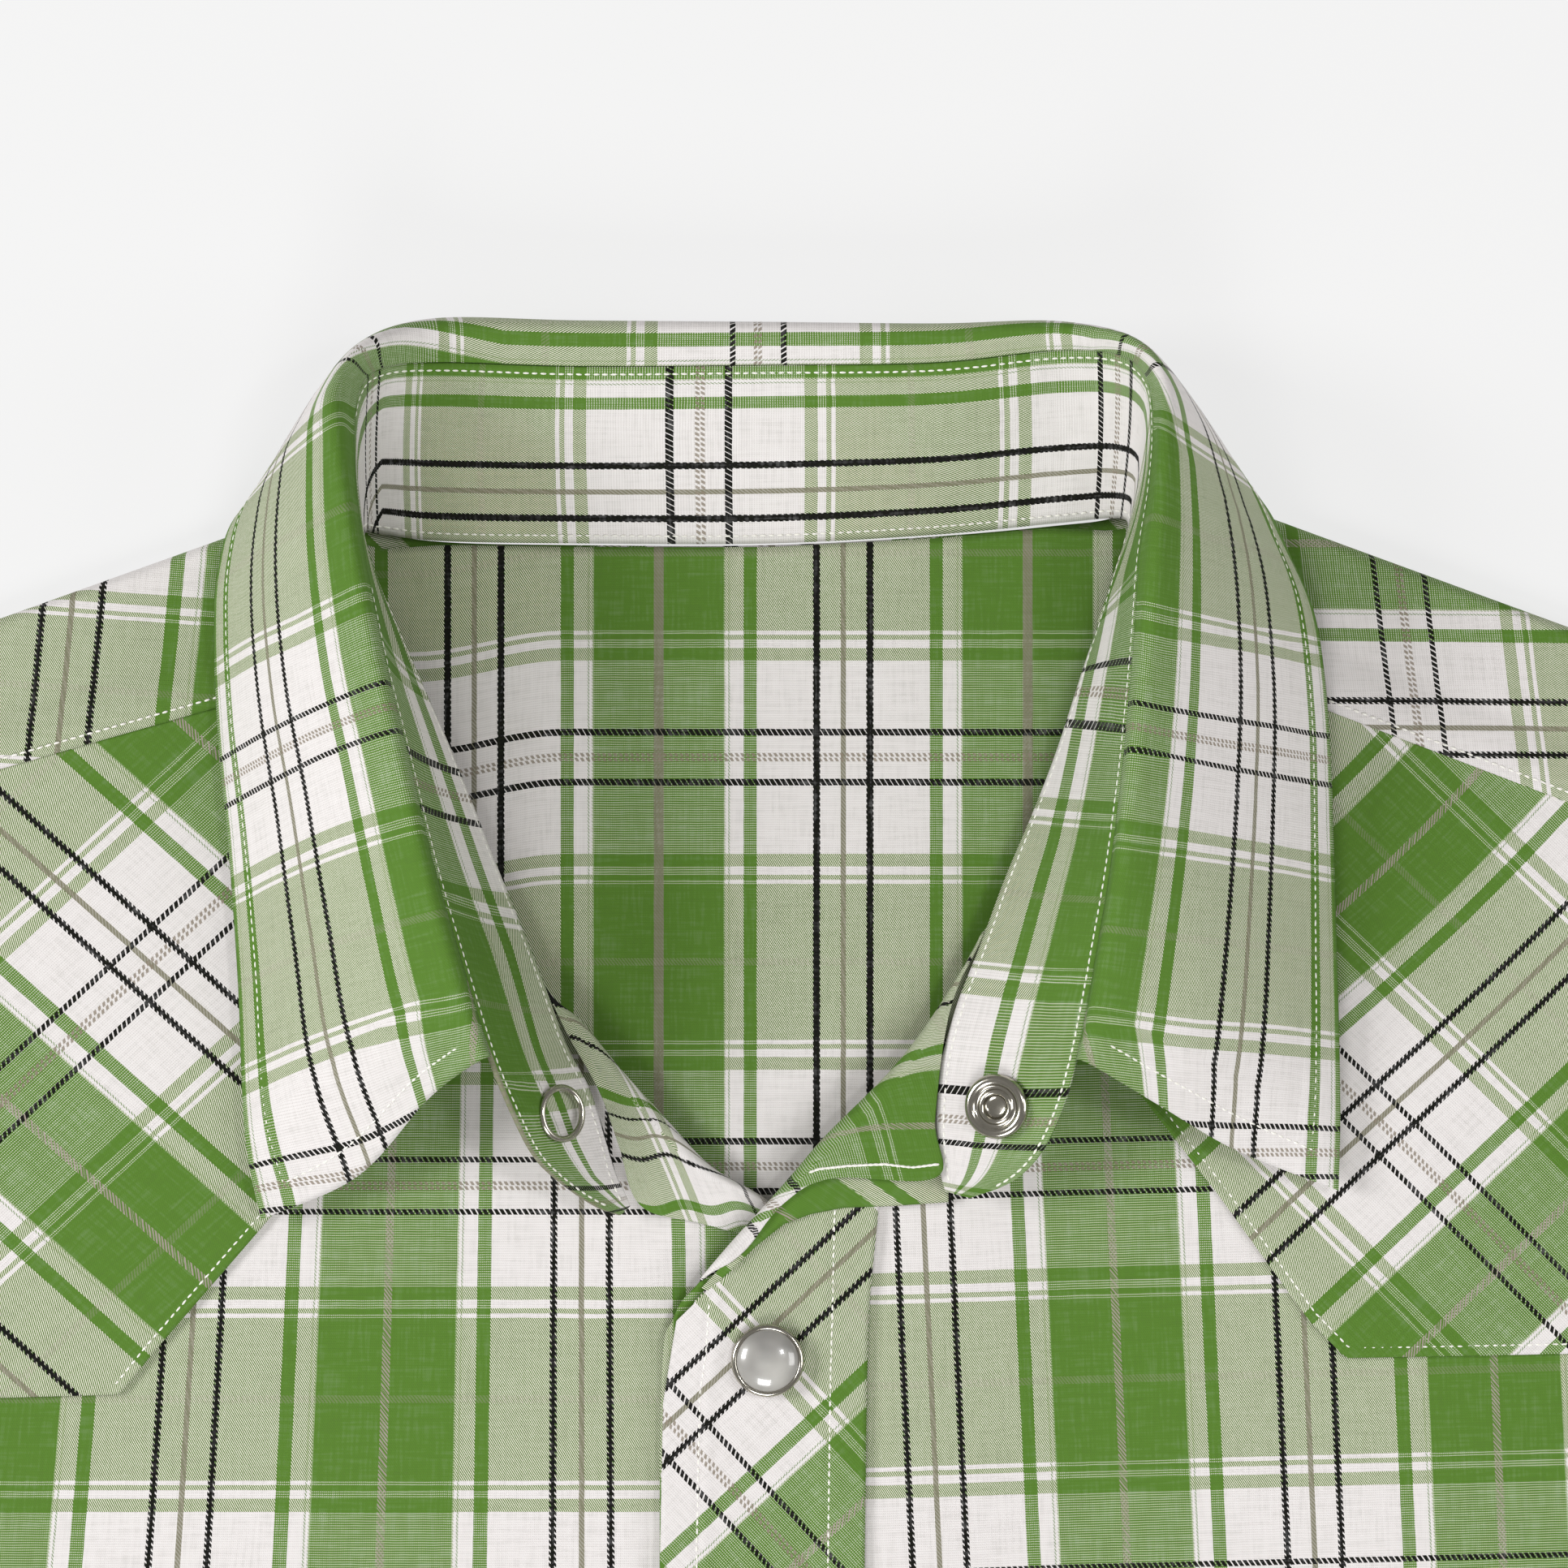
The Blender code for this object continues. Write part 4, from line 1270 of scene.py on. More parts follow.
def inset_route(outline: Sequence[Point], middle: Vector, off: float) -> list[Point]:
    """A polyline moved towards a middle point by the same distance at each of its sides.

    Args:
        outline: The polyline.
        middle: A point on the side it moves to.
        off: How far.

    Returns:
        The moved polyline.
    """
    points = [Vector(p[:2]) for p in outline]
    sides = []
    for a, b in zip(points, points[1:]):
        along = (b - a).normalized()
        normal = Vector((-along.y, along.x))
        if normal.dot(middle - a) < 0:
            normal = -normal
        sides.append((a + normal * off, along))
    moved = [sides[0][0]]
    for (a, u), (b, w) in zip(sides, sides[1:]):
        turn = u.x * w.y - u.y * w.x
        if abs(turn) < 0.02:
            moved.append(b)
        else:
            moved.append(a + u * (((b - a).x * w.y - (b - a).y * w.x) / turn))
    moved.append(sides[-1][0] + sides[-1][1] * (points[-1] - points[-2]).length)
    return [tuple(p) for p in moved]


@dataclass
class Placket:
    """The strip on the left front's edge that carries the snaps, cut on the bias."""

    front: Front
    grain: Grain
    name: str = "placket"
    lift: float = 1.0
    stitch: float = 7.0
    proud: float = 0.04              # how far its stitches stand out
    raised_share: float = 0.03       # share of its length that its upper end shapes
    left_edge: tuple[Point, ...] = ((-11.2, -139.0), (-16.9, -144.6), (-19.4, -160.0), (-20.0, -190.0),
                                    (-20.0, -260.0), (-20.0, -500.0), (-20.0, -BACK_LENGTH))
    right_edge: tuple[Point, ...] = ((19.2, -126.6), (18.9, -136.2), (18.4, -156.5), (18.0, -190.0),
                                     (18.0, -260.0), (18.0, -500.0), (18.0, -BACK_LENGTH))
    top: tuple[Point, ...] = ((-11.2, -139.0), (-8.4, -135.4), (-4.6, -131.2), (-0.4, -127.6), (4.0, -124.6),
                              (9.0, -122.6), (14.6, -121.6), (20.6, -121.6))

    def __post_init__(self) -> None:
        """Measure the two edges and the end that slips under the turned corner."""
        self.left, self.right, self.end = Route(self.left_edge), Route(self.right_edge), Route(self.top)

    def point(self, s: float, t: float) -> Point:
        """A point of the strip.

        Args:
            s: Across it.
            t: Down it.

        Returns:
            The point.
        """
        a, b = self.left.at(t), self.right.at(t)
        raised = self.end.at(s) - self.left.at(0.0).lerp(self.right.at(0.0), s)
        x, y = a.lerp(b, s) + raised * (1.0 - smoothstep(t / self.raised_share))
        off = min(s, 1.0 - s) * (b - a).length
        return (x, y, self.front.height(x, y) + self.lift + hem_relief(off, y, self.stitch, 9.0, 0.25))

    def build(self, finish: bpy.types.Material, sewing: Sewing) -> bpy.types.Object:
        """Build and sew the strip.

        Args:
            finish: The cloth.
            sewing: Takes its stitches.

        Returns:
            The piece.
        """
        sheet = Sheet(self.name)
        along = [t ** 1.6 for t in shares(420)]
        sheet.patch(shares(44), along, self.point, lambda s, t, point: self.grain.at(point[0], point[1]))
        piece = sheet.make(finish)
        declare(piece, (0.05, 0.64), (self.front.name,), self.name)
        for start in (0.0, 1.0):
            route = []
            for t in along[::2]:
                width = (self.right.at(t) - self.left.at(t)).length
                share = abs(start - self.stitch / width)
                x, y, _ = self.point(share, t)
                route.append((x, y))
            sew_on(sewing, "placket_stitching", route,
                   lambda x, y: self.front.height(x, y) + self.lift + self.proud)
        return piece


@dataclass
class Back:
    """The back panel, which shows its reverse inside the neck."""

    grain: Grain
    name: str = "back"
    creases: tuple[Crease, ...] = ()

    def __post_init__(self) -> None:
        """Set the panel's upper edge."""
        self.top = Route([(-222.0, -50.0), (-150.0, -25.6), (-104.0, -7.6), (-80.0, 1.0), (-72.0, -1.4),
                          (-60.5, -0.6), (-34.0, -1.0), (0.0, -1.0), (30.8, 0.6), (53.4, 2.6), (64.0, 2.0),
                          (76.0, 4.4), (100.0, -4.4), (150.0, -21.6), (222.0, -50.0)])

    def height(self, x: float, y: float) -> float:
        """Middle of the panel with its creases."""
        calm = smoothstep((-y - 4.0) / 20.0) * smoothstep((y + 175.0) / 20.0)
        calm *= smoothstep((80.0 - abs(x)) / 30.0)
        return back_height(x, y) + calm * (0.5 + creased(self.creases, x, y) + 0.5 * ripple(x, y, 30.0, 2.0))

    def point(self, s: float, t: float) -> Point:
        """A point of the panel: from its upper edge to the yoke's line for t below 0.5, then to the hem.

        Args:
            s: Across it.
            t: Down it.

        Returns:
            The point.
        """
        top = self.top.at(s)
        if t <= 0.5:
            share = t / 0.5
            level = -50.0 + (YOKE_SIDE - YOKE_RAMP + 50.0) * share
            x = top.x * (side_point(Side.LEFT, level)[0] - 1.0) / 222.0
            y = top.y + (yoke_line(x) - YOKE_RAMP - top.y) * share
            return (x, y, self.height(x, y))
        share = (t - 0.5) / 0.5
        level = YOKE_SIDE - YOKE_RAMP + (SIDE_SEAM[-1][1] - YOKE_SIDE + YOKE_RAMP) * share
        x = top.x * (side_point(Side.LEFT, level)[0] - 1.0 + share) / 222.0
        start = yoke_line(x) - YOKE_RAMP
        y = start + (hem_line(x) - start) * share
        return (x, y, back_height(x, y))

    def cut(self, s: float, t: float, point: Point) -> tuple[float, float]:
        """The cloth's map, which droops where it is drawn in at the right of the neck."""
        x, y = point[0], point[1]
        return self.grain.at(x, y + 4.0 * smoothstep((-x - 38.0) / 28.0) * smoothstep((y + 130.0) / 50.0))

    def build(self, finish: bpy.types.Material) -> bpy.types.Object:
        """Build the panel.

        Args:
            finish: The cloth.

        Returns:
            The piece.
        """
        sheet = Sheet(self.name)
        along = [t * 0.5 for t in shares(120)] + [0.5 + 0.5 * t for t in shares(70)[1:]]
        sheet.patch(shares(200), along, self.point, self.cut)
        piece = sheet.make(finish)
        declare(piece, (0.56, 0.76), ("back_yoke",), self.name)
        return piece


class Shoulder(NamedTuple):
    """Where the yoke turns over a shoulder, where its seam starts and ends, and its height there."""

    neck: Point
    middle: Point
    seam: Point
    seam_side: float
    height: Callable[[float, float], float]


SHOULDERS = {
    Side.RIGHT: Shoulder((-77.0, 9.0), (-74.9, 0.0), (-69.0, -20.0), -62.8, right_height),
    Side.LEFT: Shoulder((72.0, 12.0), (66.4, -1.0), (61.6, -13.8), -73.2, left_shoulder_height),
}


@dataclass
class BackYoke:
    """The back yoke, which lies under the back and turns over both shoulders down to the fronts."""

    right_grain: Grain
    left_grain: Grain
    under_grain: Grain
    name: str = "back_yoke"
    stitch: float = 1.8
    overlap: float = 1.4             # how far its edge lies over the front yokes

    def wing(self, side: Side, s: float, t: float) -> tuple[Point, tuple[float, float]]:
        """A point of the part over one shoulder, and where that is on the unrolled cloth.

        Args:
            side: Which shoulder.
            s: 0 to 0.3 round the fold, then up to 1 at the seam.
            t: From the neck to the armhole.

        Returns:
            The point and its place on the flat cloth.
        """
        neck, middle, seam, seam_side, height = SHOULDERS[side]
        tip, end = side_point(side, SHOULDER_TIP[1]), side_point(side, seam_side)
        fold, low = Vector(mix(neck, tip, t)), Vector(mix(seam, end, t))
        down = (low - fold).normalized()
        low += down * self.overlap
        half = Vector(mix(mix(middle, mix(tip, end, 0.5), t), tuple(fold.lerp(low, 0.5)), min(1.0, 4 * t)))
        top = height(*half)
        radius = (top - WALL / 2) / 2
        if s <= 0.3:
            angle = math.radians(-90.0 + 600.0 * s)
            flat = fold + down * radius * (1.0 - math.cos(angle))
            unrolled = fold + down * radius * (1.0 - math.pi * (0.3 - s) / 0.3)
            return (flat.x, flat.y, WALL / 2 + radius * (1.0 + math.sin(angle))), (unrolled.x, unrolled.y)
        share = (s - 0.3) / 0.7
        start = fold + down * radius
        flat = Vector(mix(start, half, share * 2)) if share < 0.5 else Vector(mix(half, low, share * 2 - 1))
        off = (low - flat).length
        over = 1.15 * (1.0 - smoothstep((off - 3.0) / 9.0))
        z = top + (height(*low) - top) * smoothstep(share * 2 - 1) + over
        return (flat.x, flat.y, z + hem_relief(off, t * 140.0, self.stitch, 9.0, 0.2)), (flat.x, flat.y)

    def under(self, s: float, t: float, top: Sequence[Vector]) -> Point:
        """A point of the part that lies on the surface.

        Args:
            s: Across it.
            t: Down it.
            top: Its upper edge.

        Returns:
            The point.
        """
        place = s * (len(top) - 1)
        k = min(int(place), len(top) - 2)
        here = top[k].lerp(top[k + 1], place - k)
        low = yoke_line(here.x * YOKE_HALF_WIDTH / SHOULDER_TIP[0])
        level = SHOULDER_TIP[1] + (YOKE_SIDE - SHOULDER_TIP[1]) * t
        x = here.x * side_point(Side.LEFT, level)[0] / SHOULDER_TIP[0]
        return (x, here.y + (low - here.y) * t, WALL / 2)

    def build(self, finish: bpy.types.Material, sewing: Sewing) -> bpy.types.Object:
        """Build the yoke and sew its front edges.

        Args:
            finish: The cloth.
            sewing: Takes its stitches.

        Returns:
            The piece.
        """
        sheet = Sheet(self.name)
        steps = shares(110)
        round_and_down = [0.3 * t for t in shares(12)] + [0.3 + 0.7 * t for t in shares(26)[1:]]
        tops = {}
        for side, grain in zip(Side, (self.right_grain, self.left_grain)):
            sheet.patch(round_and_down, steps, lambda s, t, side=side: self.wing(side, s, t)[0],
                        lambda s, t, point, side=side, grain=grain: grain.at(*self.wing(side, s, t)[1]))
            tops[side] = [Vector(self.wing(side, 0.0, t)[0]) for t in steps]
        right, left = tops.values()
        neck = Curve([right[0], (-73.0, 2.2, 0.5), (-60.5, 0.0, 0.5), (-34.0, -0.6, 0.5), (0.0, -0.6, 0.5),
                      (30.8, 1.0, 0.5), (53.4, 3.0, 0.5), (64.6, 4.6, 0.5), left[0]])
        line = right[:0:-1] + [neck.at(8 * t) for t in shares(60)] + left[1:]
        sheet.patch(shares(len(line) - 1), shares(24, 0.9), lambda s, t: self.under(s, t, line),
                    lambda s, t, point: self.under_grain.at(point[0], point[1]))
        piece = sheet.make(finish, up=False)
        declare(piece, (0.50, 0.26), ("floor",), self.name)
        for side in Side:
            points = []
            for t in shares(160):
                low = Vector(self.wing(side, 1.0, t)[0])
                above = Vector(self.wing(side, 0.9, t)[0])
                points.append(low + (above - low).normalized() * self.stitch)
            sewing.line("yoke_stitching", points, [UP] * len(points))
        return piece


@dataclass
class Sleeve:
    """A short sleeve: a flattened tube from the armhole to a plain turned hem."""

    side: Side
    grain: Grain
    courses: tuple[tuple[float, float], ...] = ((-44.0, 0.0), (-92.0, 0.2), (-122.0, 0.33), (-150.0, 0.46),
                                                (-188.0, 0.6), (-224.0, 0.72), (-252.0, 1.0))
    top: Point = (422.0, -184.0)
    under: Point = (316.0, -336.0)
    seam: float = 0.35
    lift: float = 3.6
    turn: float = 0.06               # share of its width that each folded edge takes
    sewn_at: float = 0.895           # share of its length where the hem is stitched
    creases: tuple[Crease, ...] = (
        Crease((236.0, -120.0), (330.0, -170.0), 9.0, 0.9),
        Crease((240.0, -150.0), (318.0, -214.0), 7.0, -0.8),
        Crease((250.0, -182.0), (300.0, -250.0), 8.0, 0.7),
        Crease((330.0, -150.0), (372.0, -226.0), 11.0, 0.6),
        Crease((262.0, -226.0), (296.0, -292.0), 6.0, -0.7),
    )

    def line(self, t: float) -> list[Point]:
        """Points down the sleeve's width at a share of its length.

        Args:
            t: The share.

        Returns:
            The points.
        """
        found = []
        for level, share in self.courses:
            x, y = side_point(Side.LEFT, level)
            y += self.seam * smoothstep((-y - 150.0) / 80.0)
            found.append((*mix((x + self.seam, y), mix(self.top, self.under, share), t), 0.0))
        return found

    def point(self, s: float, t: float) -> Point:
        """A point of the tube: s goes round it from the top fold, under, to the underarm fold and back over.

        Args:
            s: Round the tube.
            t: Along it, from the armhole.

        Returns:
            The point.
        """
        line = self.line(t)
        high = self.lift + 0.6 * math.sin(math.pi * t)
        middle = (high + WALL / 2) / 2
        radius = middle - WALL / 2
        across = (Vector(line[-1]) - Vector(line[0])).normalized()
        below = s < 0.5
        share = 2 * s if below else 2 - 2 * s
        width = Route(line).length
        start, end = Vector(line[0]) + across * radius, Vector(line[-1]) - across * radius
        curve = Curve([start] + [Vector(p) for p in line[1:-1]] + [end])
        turn = self.turn
        if share < turn or share > 1.0 - turn:
            near = share / turn if share < turn else (1.0 - share) / turn
            anchor, way = (start, -across) if share < turn else (end, across)
            angle = near * math.pi / 2
            flat = anchor + way * radius * math.cos(angle)
            z = middle + (-1 if below else 1) * radius * math.sin(angle)
        else:
            flat = curve.at((share - turn) / (1.0 - 2 * turn) * 6.0)
            z = WALL / 2 if below else high
        if not below:
            wide = smoothstep((share - turn) / 0.1) * smoothstep((1.0 - turn - share) / 0.1)
            z += wide * creased(self.creases, flat.x, flat.y)
            z += wide * 0.35 * ripple(flat.x, flat.y, 30.0, 9.0)
            z += wide * hem_relief((1.0 - t) * width * 0.9, share * width, 19.0, 20.0, 0.25)
        return (self.side * flat.x, flat.y, max(z, WALL / 2))

    def build(self, finish: bpy.types.Material, sewing: Sewing) -> bpy.types.Object:
        """Build and hem the sleeve.

        Args:
            finish: The cloth.
            sewing: Takes its stitches.

        Returns:
            The piece.
        """
        name = "sleeve_right" if self.side is Side.RIGHT else "sleeve_left"
        sheet = Sheet(name)
        ring = [0.03 * t for t in shares(5)] + [0.03 + 0.44 * t for t in shares(60)[1:]]
        ring += [0.47 + 0.06 * t for t in shares(10)[1:]] + [0.53 + 0.44 * t for t in shares(60)[1:]]
        ring += [0.97 + 0.03 * t for t in shares(5)[1:]]
        sheet.patch(ring, shares(70), self.point, lambda s, t, point: self.grain.at(point[0], point[1]))
        piece = sheet.make(finish)
        declare(piece, (0.40, 0.24), ("floor",), name)
        points = [Vector(self.point(0.96 - 0.42 * t, self.sewn_at)) for t in shares(120)]
        sewing.line("hem_stitching", points, [UP] * len(points))
        return piece


# ---------------------------------------------------------------- collar and snaps

STAND = (
    StandRow((-25.6, -123.4, 8.0), (-27.4, -125.0, 9.0)),
    StandRow((-26.6, -121.0, 8.0), (-31.5, -123.4, 11.0)),
    StandRow((-28.4, -117.2, 8.0), (-37.0, -119.4, 15.0)),
    StandRow((-30.6, -109.6, 8.0), (-42.3, -114.0, 20.0)),
    StandRow((-33.4, -101.4, 8.5), (-46.0, -106.4, 25.5)),
    StandRow((-37.6, -93.4, 9.0), (-50.5, -94.7, 30.0)),
    StandRow((-42.5, -80.2, 9.0), (-54.8, -79.9, 34.0)),
    StandRow((-50.2, -61.3, 8.0), (-60.1, -61.0, 37.0)),
    StandRow((-58.6, -40.0, 8.0), (-65.1, -39.5, 39.0)),
    StandRow((-65.4, -24.4, 8.0), (-69.8, -19.5, 40.0)),
    StandRow((-71.6, -10.0, 8.0), (-73.8, 2.0, 38.0)),
    StandRow((-74.6, -2.2, 8.0), (-75.2, 18.0, 33.0)),
    StandRow((-75.0, 1.8, 7.6), (-74.1, 27.2, 29.0)),
    StandRow((-71.4, 1.6, 6.0), (-70.0, 31.0, 24.0)),
    StandRow((-60.5, 0.4, 4.6), (-59.6, 32.1, 19.6)),
    StandRow((-34.0, 0.0, 3.8), (-34.0, 31.5, 17.5)),
    StandRow((0.0, 0.0, 3.7), (0.0, 31.8, 17.0)),
    StandRow((30.8, 1.6, 3.8), (30.5, 32.2, 17.5)),
    StandRow((53.4, 3.7, 4.6), (52.7, 34.3, 19.5)),
    StandRow((63.9, 4.6, 6.0), (64.2, 33.4, 23.6)),
    StandRow((67.2, 3.6, 7.6), (69.3, 28.9, 28.0)),
    StandRow((66.4, -0.8, 8.0), (70.3, 20.0, 33.0)),
    StandRow((64.8, -5.6, 8.0), (69.4, 9.0, 36.5)),
    StandRow((62.2, -14.0, 8.0), (67.3, -4.0, 39.0)),
    StandRow((58.8, -24.0, 8.0), (66.3, -19.0, 39.0)),
    StandRow((54.0, -38.8, 8.0), (64.8, -37.4, 38.0)),
    StandRow((49.5, -50.5, 8.0), (63.5, -50.0, 36.5)),
    StandRow((44.4, -62.4, 8.6), (62.1, -62.4, 33.0)),
    StandRow((39.6, -75.0, 10.0), (60.2, -75.0, 29.0)),
    StandRow((35.3, -85.8, 10.0), (58.6, -85.4, 25.0)),
    StandRow((32.4, -96.2, 10.0), (56.7, -95.6, 21.5)),
    StandRow((31.4, -106.0, 10.0), (53.9, -105.6, 18.5)),
    StandRow((31.5, -113.0, 10.0), (49.9, -113.8, 15.6)),
    StandRow((32.1, -117.4, 10.0), (44.6, -118.8, 13.4)),
    StandRow((33.0, -120.4, 10.0), (37.4, -121.6, 11.4)),
)
FALL_FIRST, FALL_LAST = 5, 30    # rows of STAND between which the fall is sewn on
FALL = (
    FallRow((-52.4, -95.4, 32.4), (-62.0, -102.6, 21.0), (-75.6, -117.4, 11.4), (-93.8, -125.9, 8.2)),
    FallRow((-57.2, -81.0, 37.2), (-70.0, -89.0, 28.0), (-83.6, -99.6, 17.4), (-96.6, -110.0, 8.2)),
    FallRow((-62.4, -61.4, 40.6), (-74.0, -67.0, 32.0), (-86.4, -74.0, 20.6), (-97.8, -82.0, 8.2)),
    FallRow((-67.4, -39.6, 42.8), (-78.4, -44.0, 34.0), (-89.4, -50.0, 22.0), (-99.6, -56.0, 8.2)),
    FallRow((-71.9, -20.0, 43.8), (-82.6, -25.6, 34.6), (-92.4, -31.0, 22.4), (-101.4, -37.0, 8.2)),
    FallRow((-75.8, 0.8, 43.2), (-85.6, -6.4, 33.6), (-94.4, -12.4, 21.6), (-102.2, -18.8, 7.8)),
    FallRow((-77.9, 16.9, 40.6), (-86.4, 9.0, 31.0), (-94.8, 0.8, 18.6), (-101.6, -6.0, 7.0)),
    FallRow((-78.2, 26.8, 36.4), (-84.6, 20.6, 27.0), (-92.2, 11.6, 14.6), (-98.0, 5.0, 5.0)),
    FallRow((-72.6, 35.2, 30.0), (-78.0, 31.6, 18.0), (-83.4, 23.4, 6.0), (-86.0, 14.0, 0.8)),
    FallRow((-60.6, 39.2, 20.4), (-63.4, 38.4, 8.0), (-65.0, 25.0, 0.6), (-66.0, 7.6, 0.5)),
    FallRow((-34.0, 39.2, 18.0), (-34.4, 37.6, 5.6), (-34.8, 24.0, 0.6), (-35.0, 4.6, 0.5)),
    FallRow((0.0, 39.0, 17.6), (0.0, 37.4, 5.4), (0.0, 24.0, 0.6), (0.0, 4.6, 0.5)),
    FallRow((30.5, 38.7, 18.0), (30.8, 37.4, 5.6), (31.0, 25.0, 0.6), (31.2, 6.2, 0.5)),
    FallRow((53.0, 38.9, 20.2), (55.8, 38.2, 8.0), (57.2, 26.0, 0.6), (58.0, 9.4, 0.5)),
    FallRow((66.2, 35.8, 28.6), (71.2, 32.6, 17.2), (76.4, 25.2, 5.4), (79.0, 16.6, 0.8)),
    FallRow((72.2, 27.6, 35.8), (78.2, 21.8, 27.0), (86.0, 13.6, 14.0), (91.0, 7.8, 4.8)),
    FallRow((72.2, 17.0, 40.4), (80.2, 9.6, 31.0), (89.6, 1.6, 18.6), (97.4, -5.0, 7.8)),
    FallRow((71.4, 7.0, 42.6), (80.8, -0.6, 33.2), (91.0, -7.0, 21.4), (100.8, -13.4, 8.8)),
    FallRow((70.2, -5.8, 43.8), (80.8, -12.0, 34.4), (92.0, -18.0, 22.4), (102.6, -24.0, 9.2)),
    FallRow((69.0, -21.0, 43.0), (80.4, -26.6, 34.2), (92.6, -32.4, 22.4), (103.8, -38.4, 9.2)),
    FallRow((67.2, -38.2, 41.8), (79.4, -43.6, 33.4), (92.2, -49.4, 22.0), (104.4, -55.4, 9.2)),
    FallRow((65.8, -50.6, 40.2), (78.6, -56.0, 32.0), (92.0, -61.8, 21.2), (104.8, -67.8, 9.2)),
    FallRow((64.4, -62.8, 37.0), (77.8, -68.4, 29.8), (91.8, -74.2, 20.0), (105.2, -80.4, 9.2)),
    FallRow((62.6, -75.2, 32.8), (76.8, -82.0, 26.8), (91.6, -88.6, 18.4), (105.6, -95.4, 9.2)),
    FallRow((61.0, -85.6, 28.6), (75.6, -93.6, 23.8), (90.6, -101.0, 16.0), (105.8, -108.6, 9.0)),
    FallRow((59.0, -96.2, 24.8), (71.6, -103.8, 20.0), (86.4, -112.6, 12.6), (105.6, -120.4, 8.8)),
)
SEAM_ALONG = (67, 51.6, 31.6, 8.6, -13.5, -37.7, -55, -68, -85.5, -98.7, -125.3, -160.7, -192.4, -215.5,
              -233.3, -243.5, -261.5, -271, -283.5, -300, -320.4, -334, -347, -360, -371, -381.5)
EDGE_ALONG = (86, 69, 39.1, 11.3, -9, -28.5, -42, -55, -70, -94, -124.6, -161, -193.5, -222, -244, -262, -278,
              -287.4, -299, -314.8, -333.4, -347, -360.8, -377.2, -391.7, -404.7)


@dataclass
class Stand:
    """The collar stand: one tapered band on its edge round the neck, with round ends."""

    name: str = "collar_band"
    stitch: float = 1.4
    wall: float = 0.9
    bow: float = 0.02                # how far it bows out, as a share of its height
    tuck: float = 1.4                # how far its lower edge goes down behind the neck
    low_seam: Point = (0.7, 33.3)    # rows between which it is stitched below
    high_seam: Point = (0.9, 33.2)   # and above
    along: Table = Table((0.0, -246.0), (4.64, -216.2), (6.8, -180.8), (7.75, -158.8), (10.0, -118.0),
                         (12.0, -92.0), (14.0, -50.2), (15.64, 0.0), (17.0, 44.8), (18.0, 66.0), (19.0, 79.4),
                         (21.5, 112.0), (24.3, 158.8), (26.0, 180.8), (28.43, 216.2), (34.0, 262.0))
    low_edge: Table = Table((0.0, 9.0), (1.7, 8.0), (2.1, 5.5), (3.0, 5.3), (5.0, 8.0), (6.3, 12.0),
                            (7.7, 13.4), (9.5, 15.6), (11.2, 13.0), (13.0, -9.7), (20.0, -9.7), (22.0, 15.0),
                            (22.7, 18.0), (24.5, 15.0), (26.5, 11.0), (29.0, 9.0), (34.0, 8.0))
    high_edge: Table = Table((0.0, 35.0), (5.0, 35.0), (6.3, 33.0), (7.7, 30.5), (9.5, 28.0), (11.2, 27.0),
                             (13.0, 25.4), (20.0, 25.4), (22.7, 28.0), (24.5, 31.0), (29.0, 33.0),
                             (34.0, 34.0))
    slant: Table = Table((0.0, 3.4), (10.0, 3.4), (12.5, 0.0), (20.0, 0.0), (23.0, -5.5), (25.5, -1.5),
                         (34.0, 0.0))

    def __post_init__(self) -> None:
        """Lay the two edges."""
        self.lower = Curve([row.lower for row in STAND])
        self.upper = Curve([row.upper for row in STAND])

    def point(self, share: float, place: float) -> Vector:
        """A point of the band's middle, from its lower to its upper edge.

        Args:
            share: From the lower to the upper edge.
            place: Row of the stand.

        Returns:
            The point.
        """
        a, b = self.lower.at(place), self.upper.at(place)
        bowed = Vector((a.x + b.x, a.y + b.y + 70.0, 0.0)).normalized() * self.bow * (b - a).length
        behind = smoothstep((place - 10.0) / 2.0) * smoothstep((24.0 - place) / 2.0)
        tucked = Vector((0.0, 0.0, -self.tuck * behind)) * (1.0 - smoothstep(share / 0.05))
        return a.lerp(b, share) + bowed * math.sin(math.pi * share) + tucked

    def normal(self, share: float, place: float) -> Vector:
        """The way out of the band's inner face.

        Args:
            share: From the lower to the upper edge.
            place: Row of the stand.

        Returns:
            The way.
        """
        step = 0.02
        up = self.point(min(share + step, 1.0), place) - self.point(max(share - step, 0.0), place)
        on = self.point(share, min(place + step, self.lower.last)) - self.point(share, max(place - step, 0.0))
        normal = up.cross(on).normalized()
        return -normal if normal.z < 0 else normal

    def grain(self, share: float, place: float, point: Point) -> tuple[float, float]:
        """The cloth's map on the band."""
        low, high, slant = self.low_edge.at(place), self.high_edge.at(place), self.slant.at(place)
        slid = slant * (1.0 - share) if slant > 0 else slant * share
        return ((low + (high - low) * share) * MM, (self.along.at(place) + slid) * MM)

    def build(self, finish: bpy.types.Material, sewing: Sewing) -> bpy.types.Object:
        """Build and sew the band.

        Args:
            finish: The cloth.
            sewing: Takes its stitches.

        Returns:
            The piece.
        """
        sheet = Sheet(self.name)
        places = self.lower.rows(lambda p: 1.1)
        sheet.patch(shares(34), places, self.point, self.grain)
        piece = sheet.make(finish, wall=self.wall)
        declare(piece, (0.43, 0.038), ("back", "front_right", "front_left"), self.name)
        for low in (True, False):
            points, normals = [], []
            first, last = self.low_seam if low else self.high_seam
            for i in range(601):
                place = first + (last - first) * i / 600
                width = (self.upper.at(place) - self.lower.at(place)).length
                share = min(0.5, self.stitch / width) if low else max(0.5, 1.0 - self.stitch / width)
                points.append(self.point(share, place))
                normals.append(self.normal(share, place))
            sewing.line("band_stitching", points, normals, lift=self.wall / 2)
        return piece


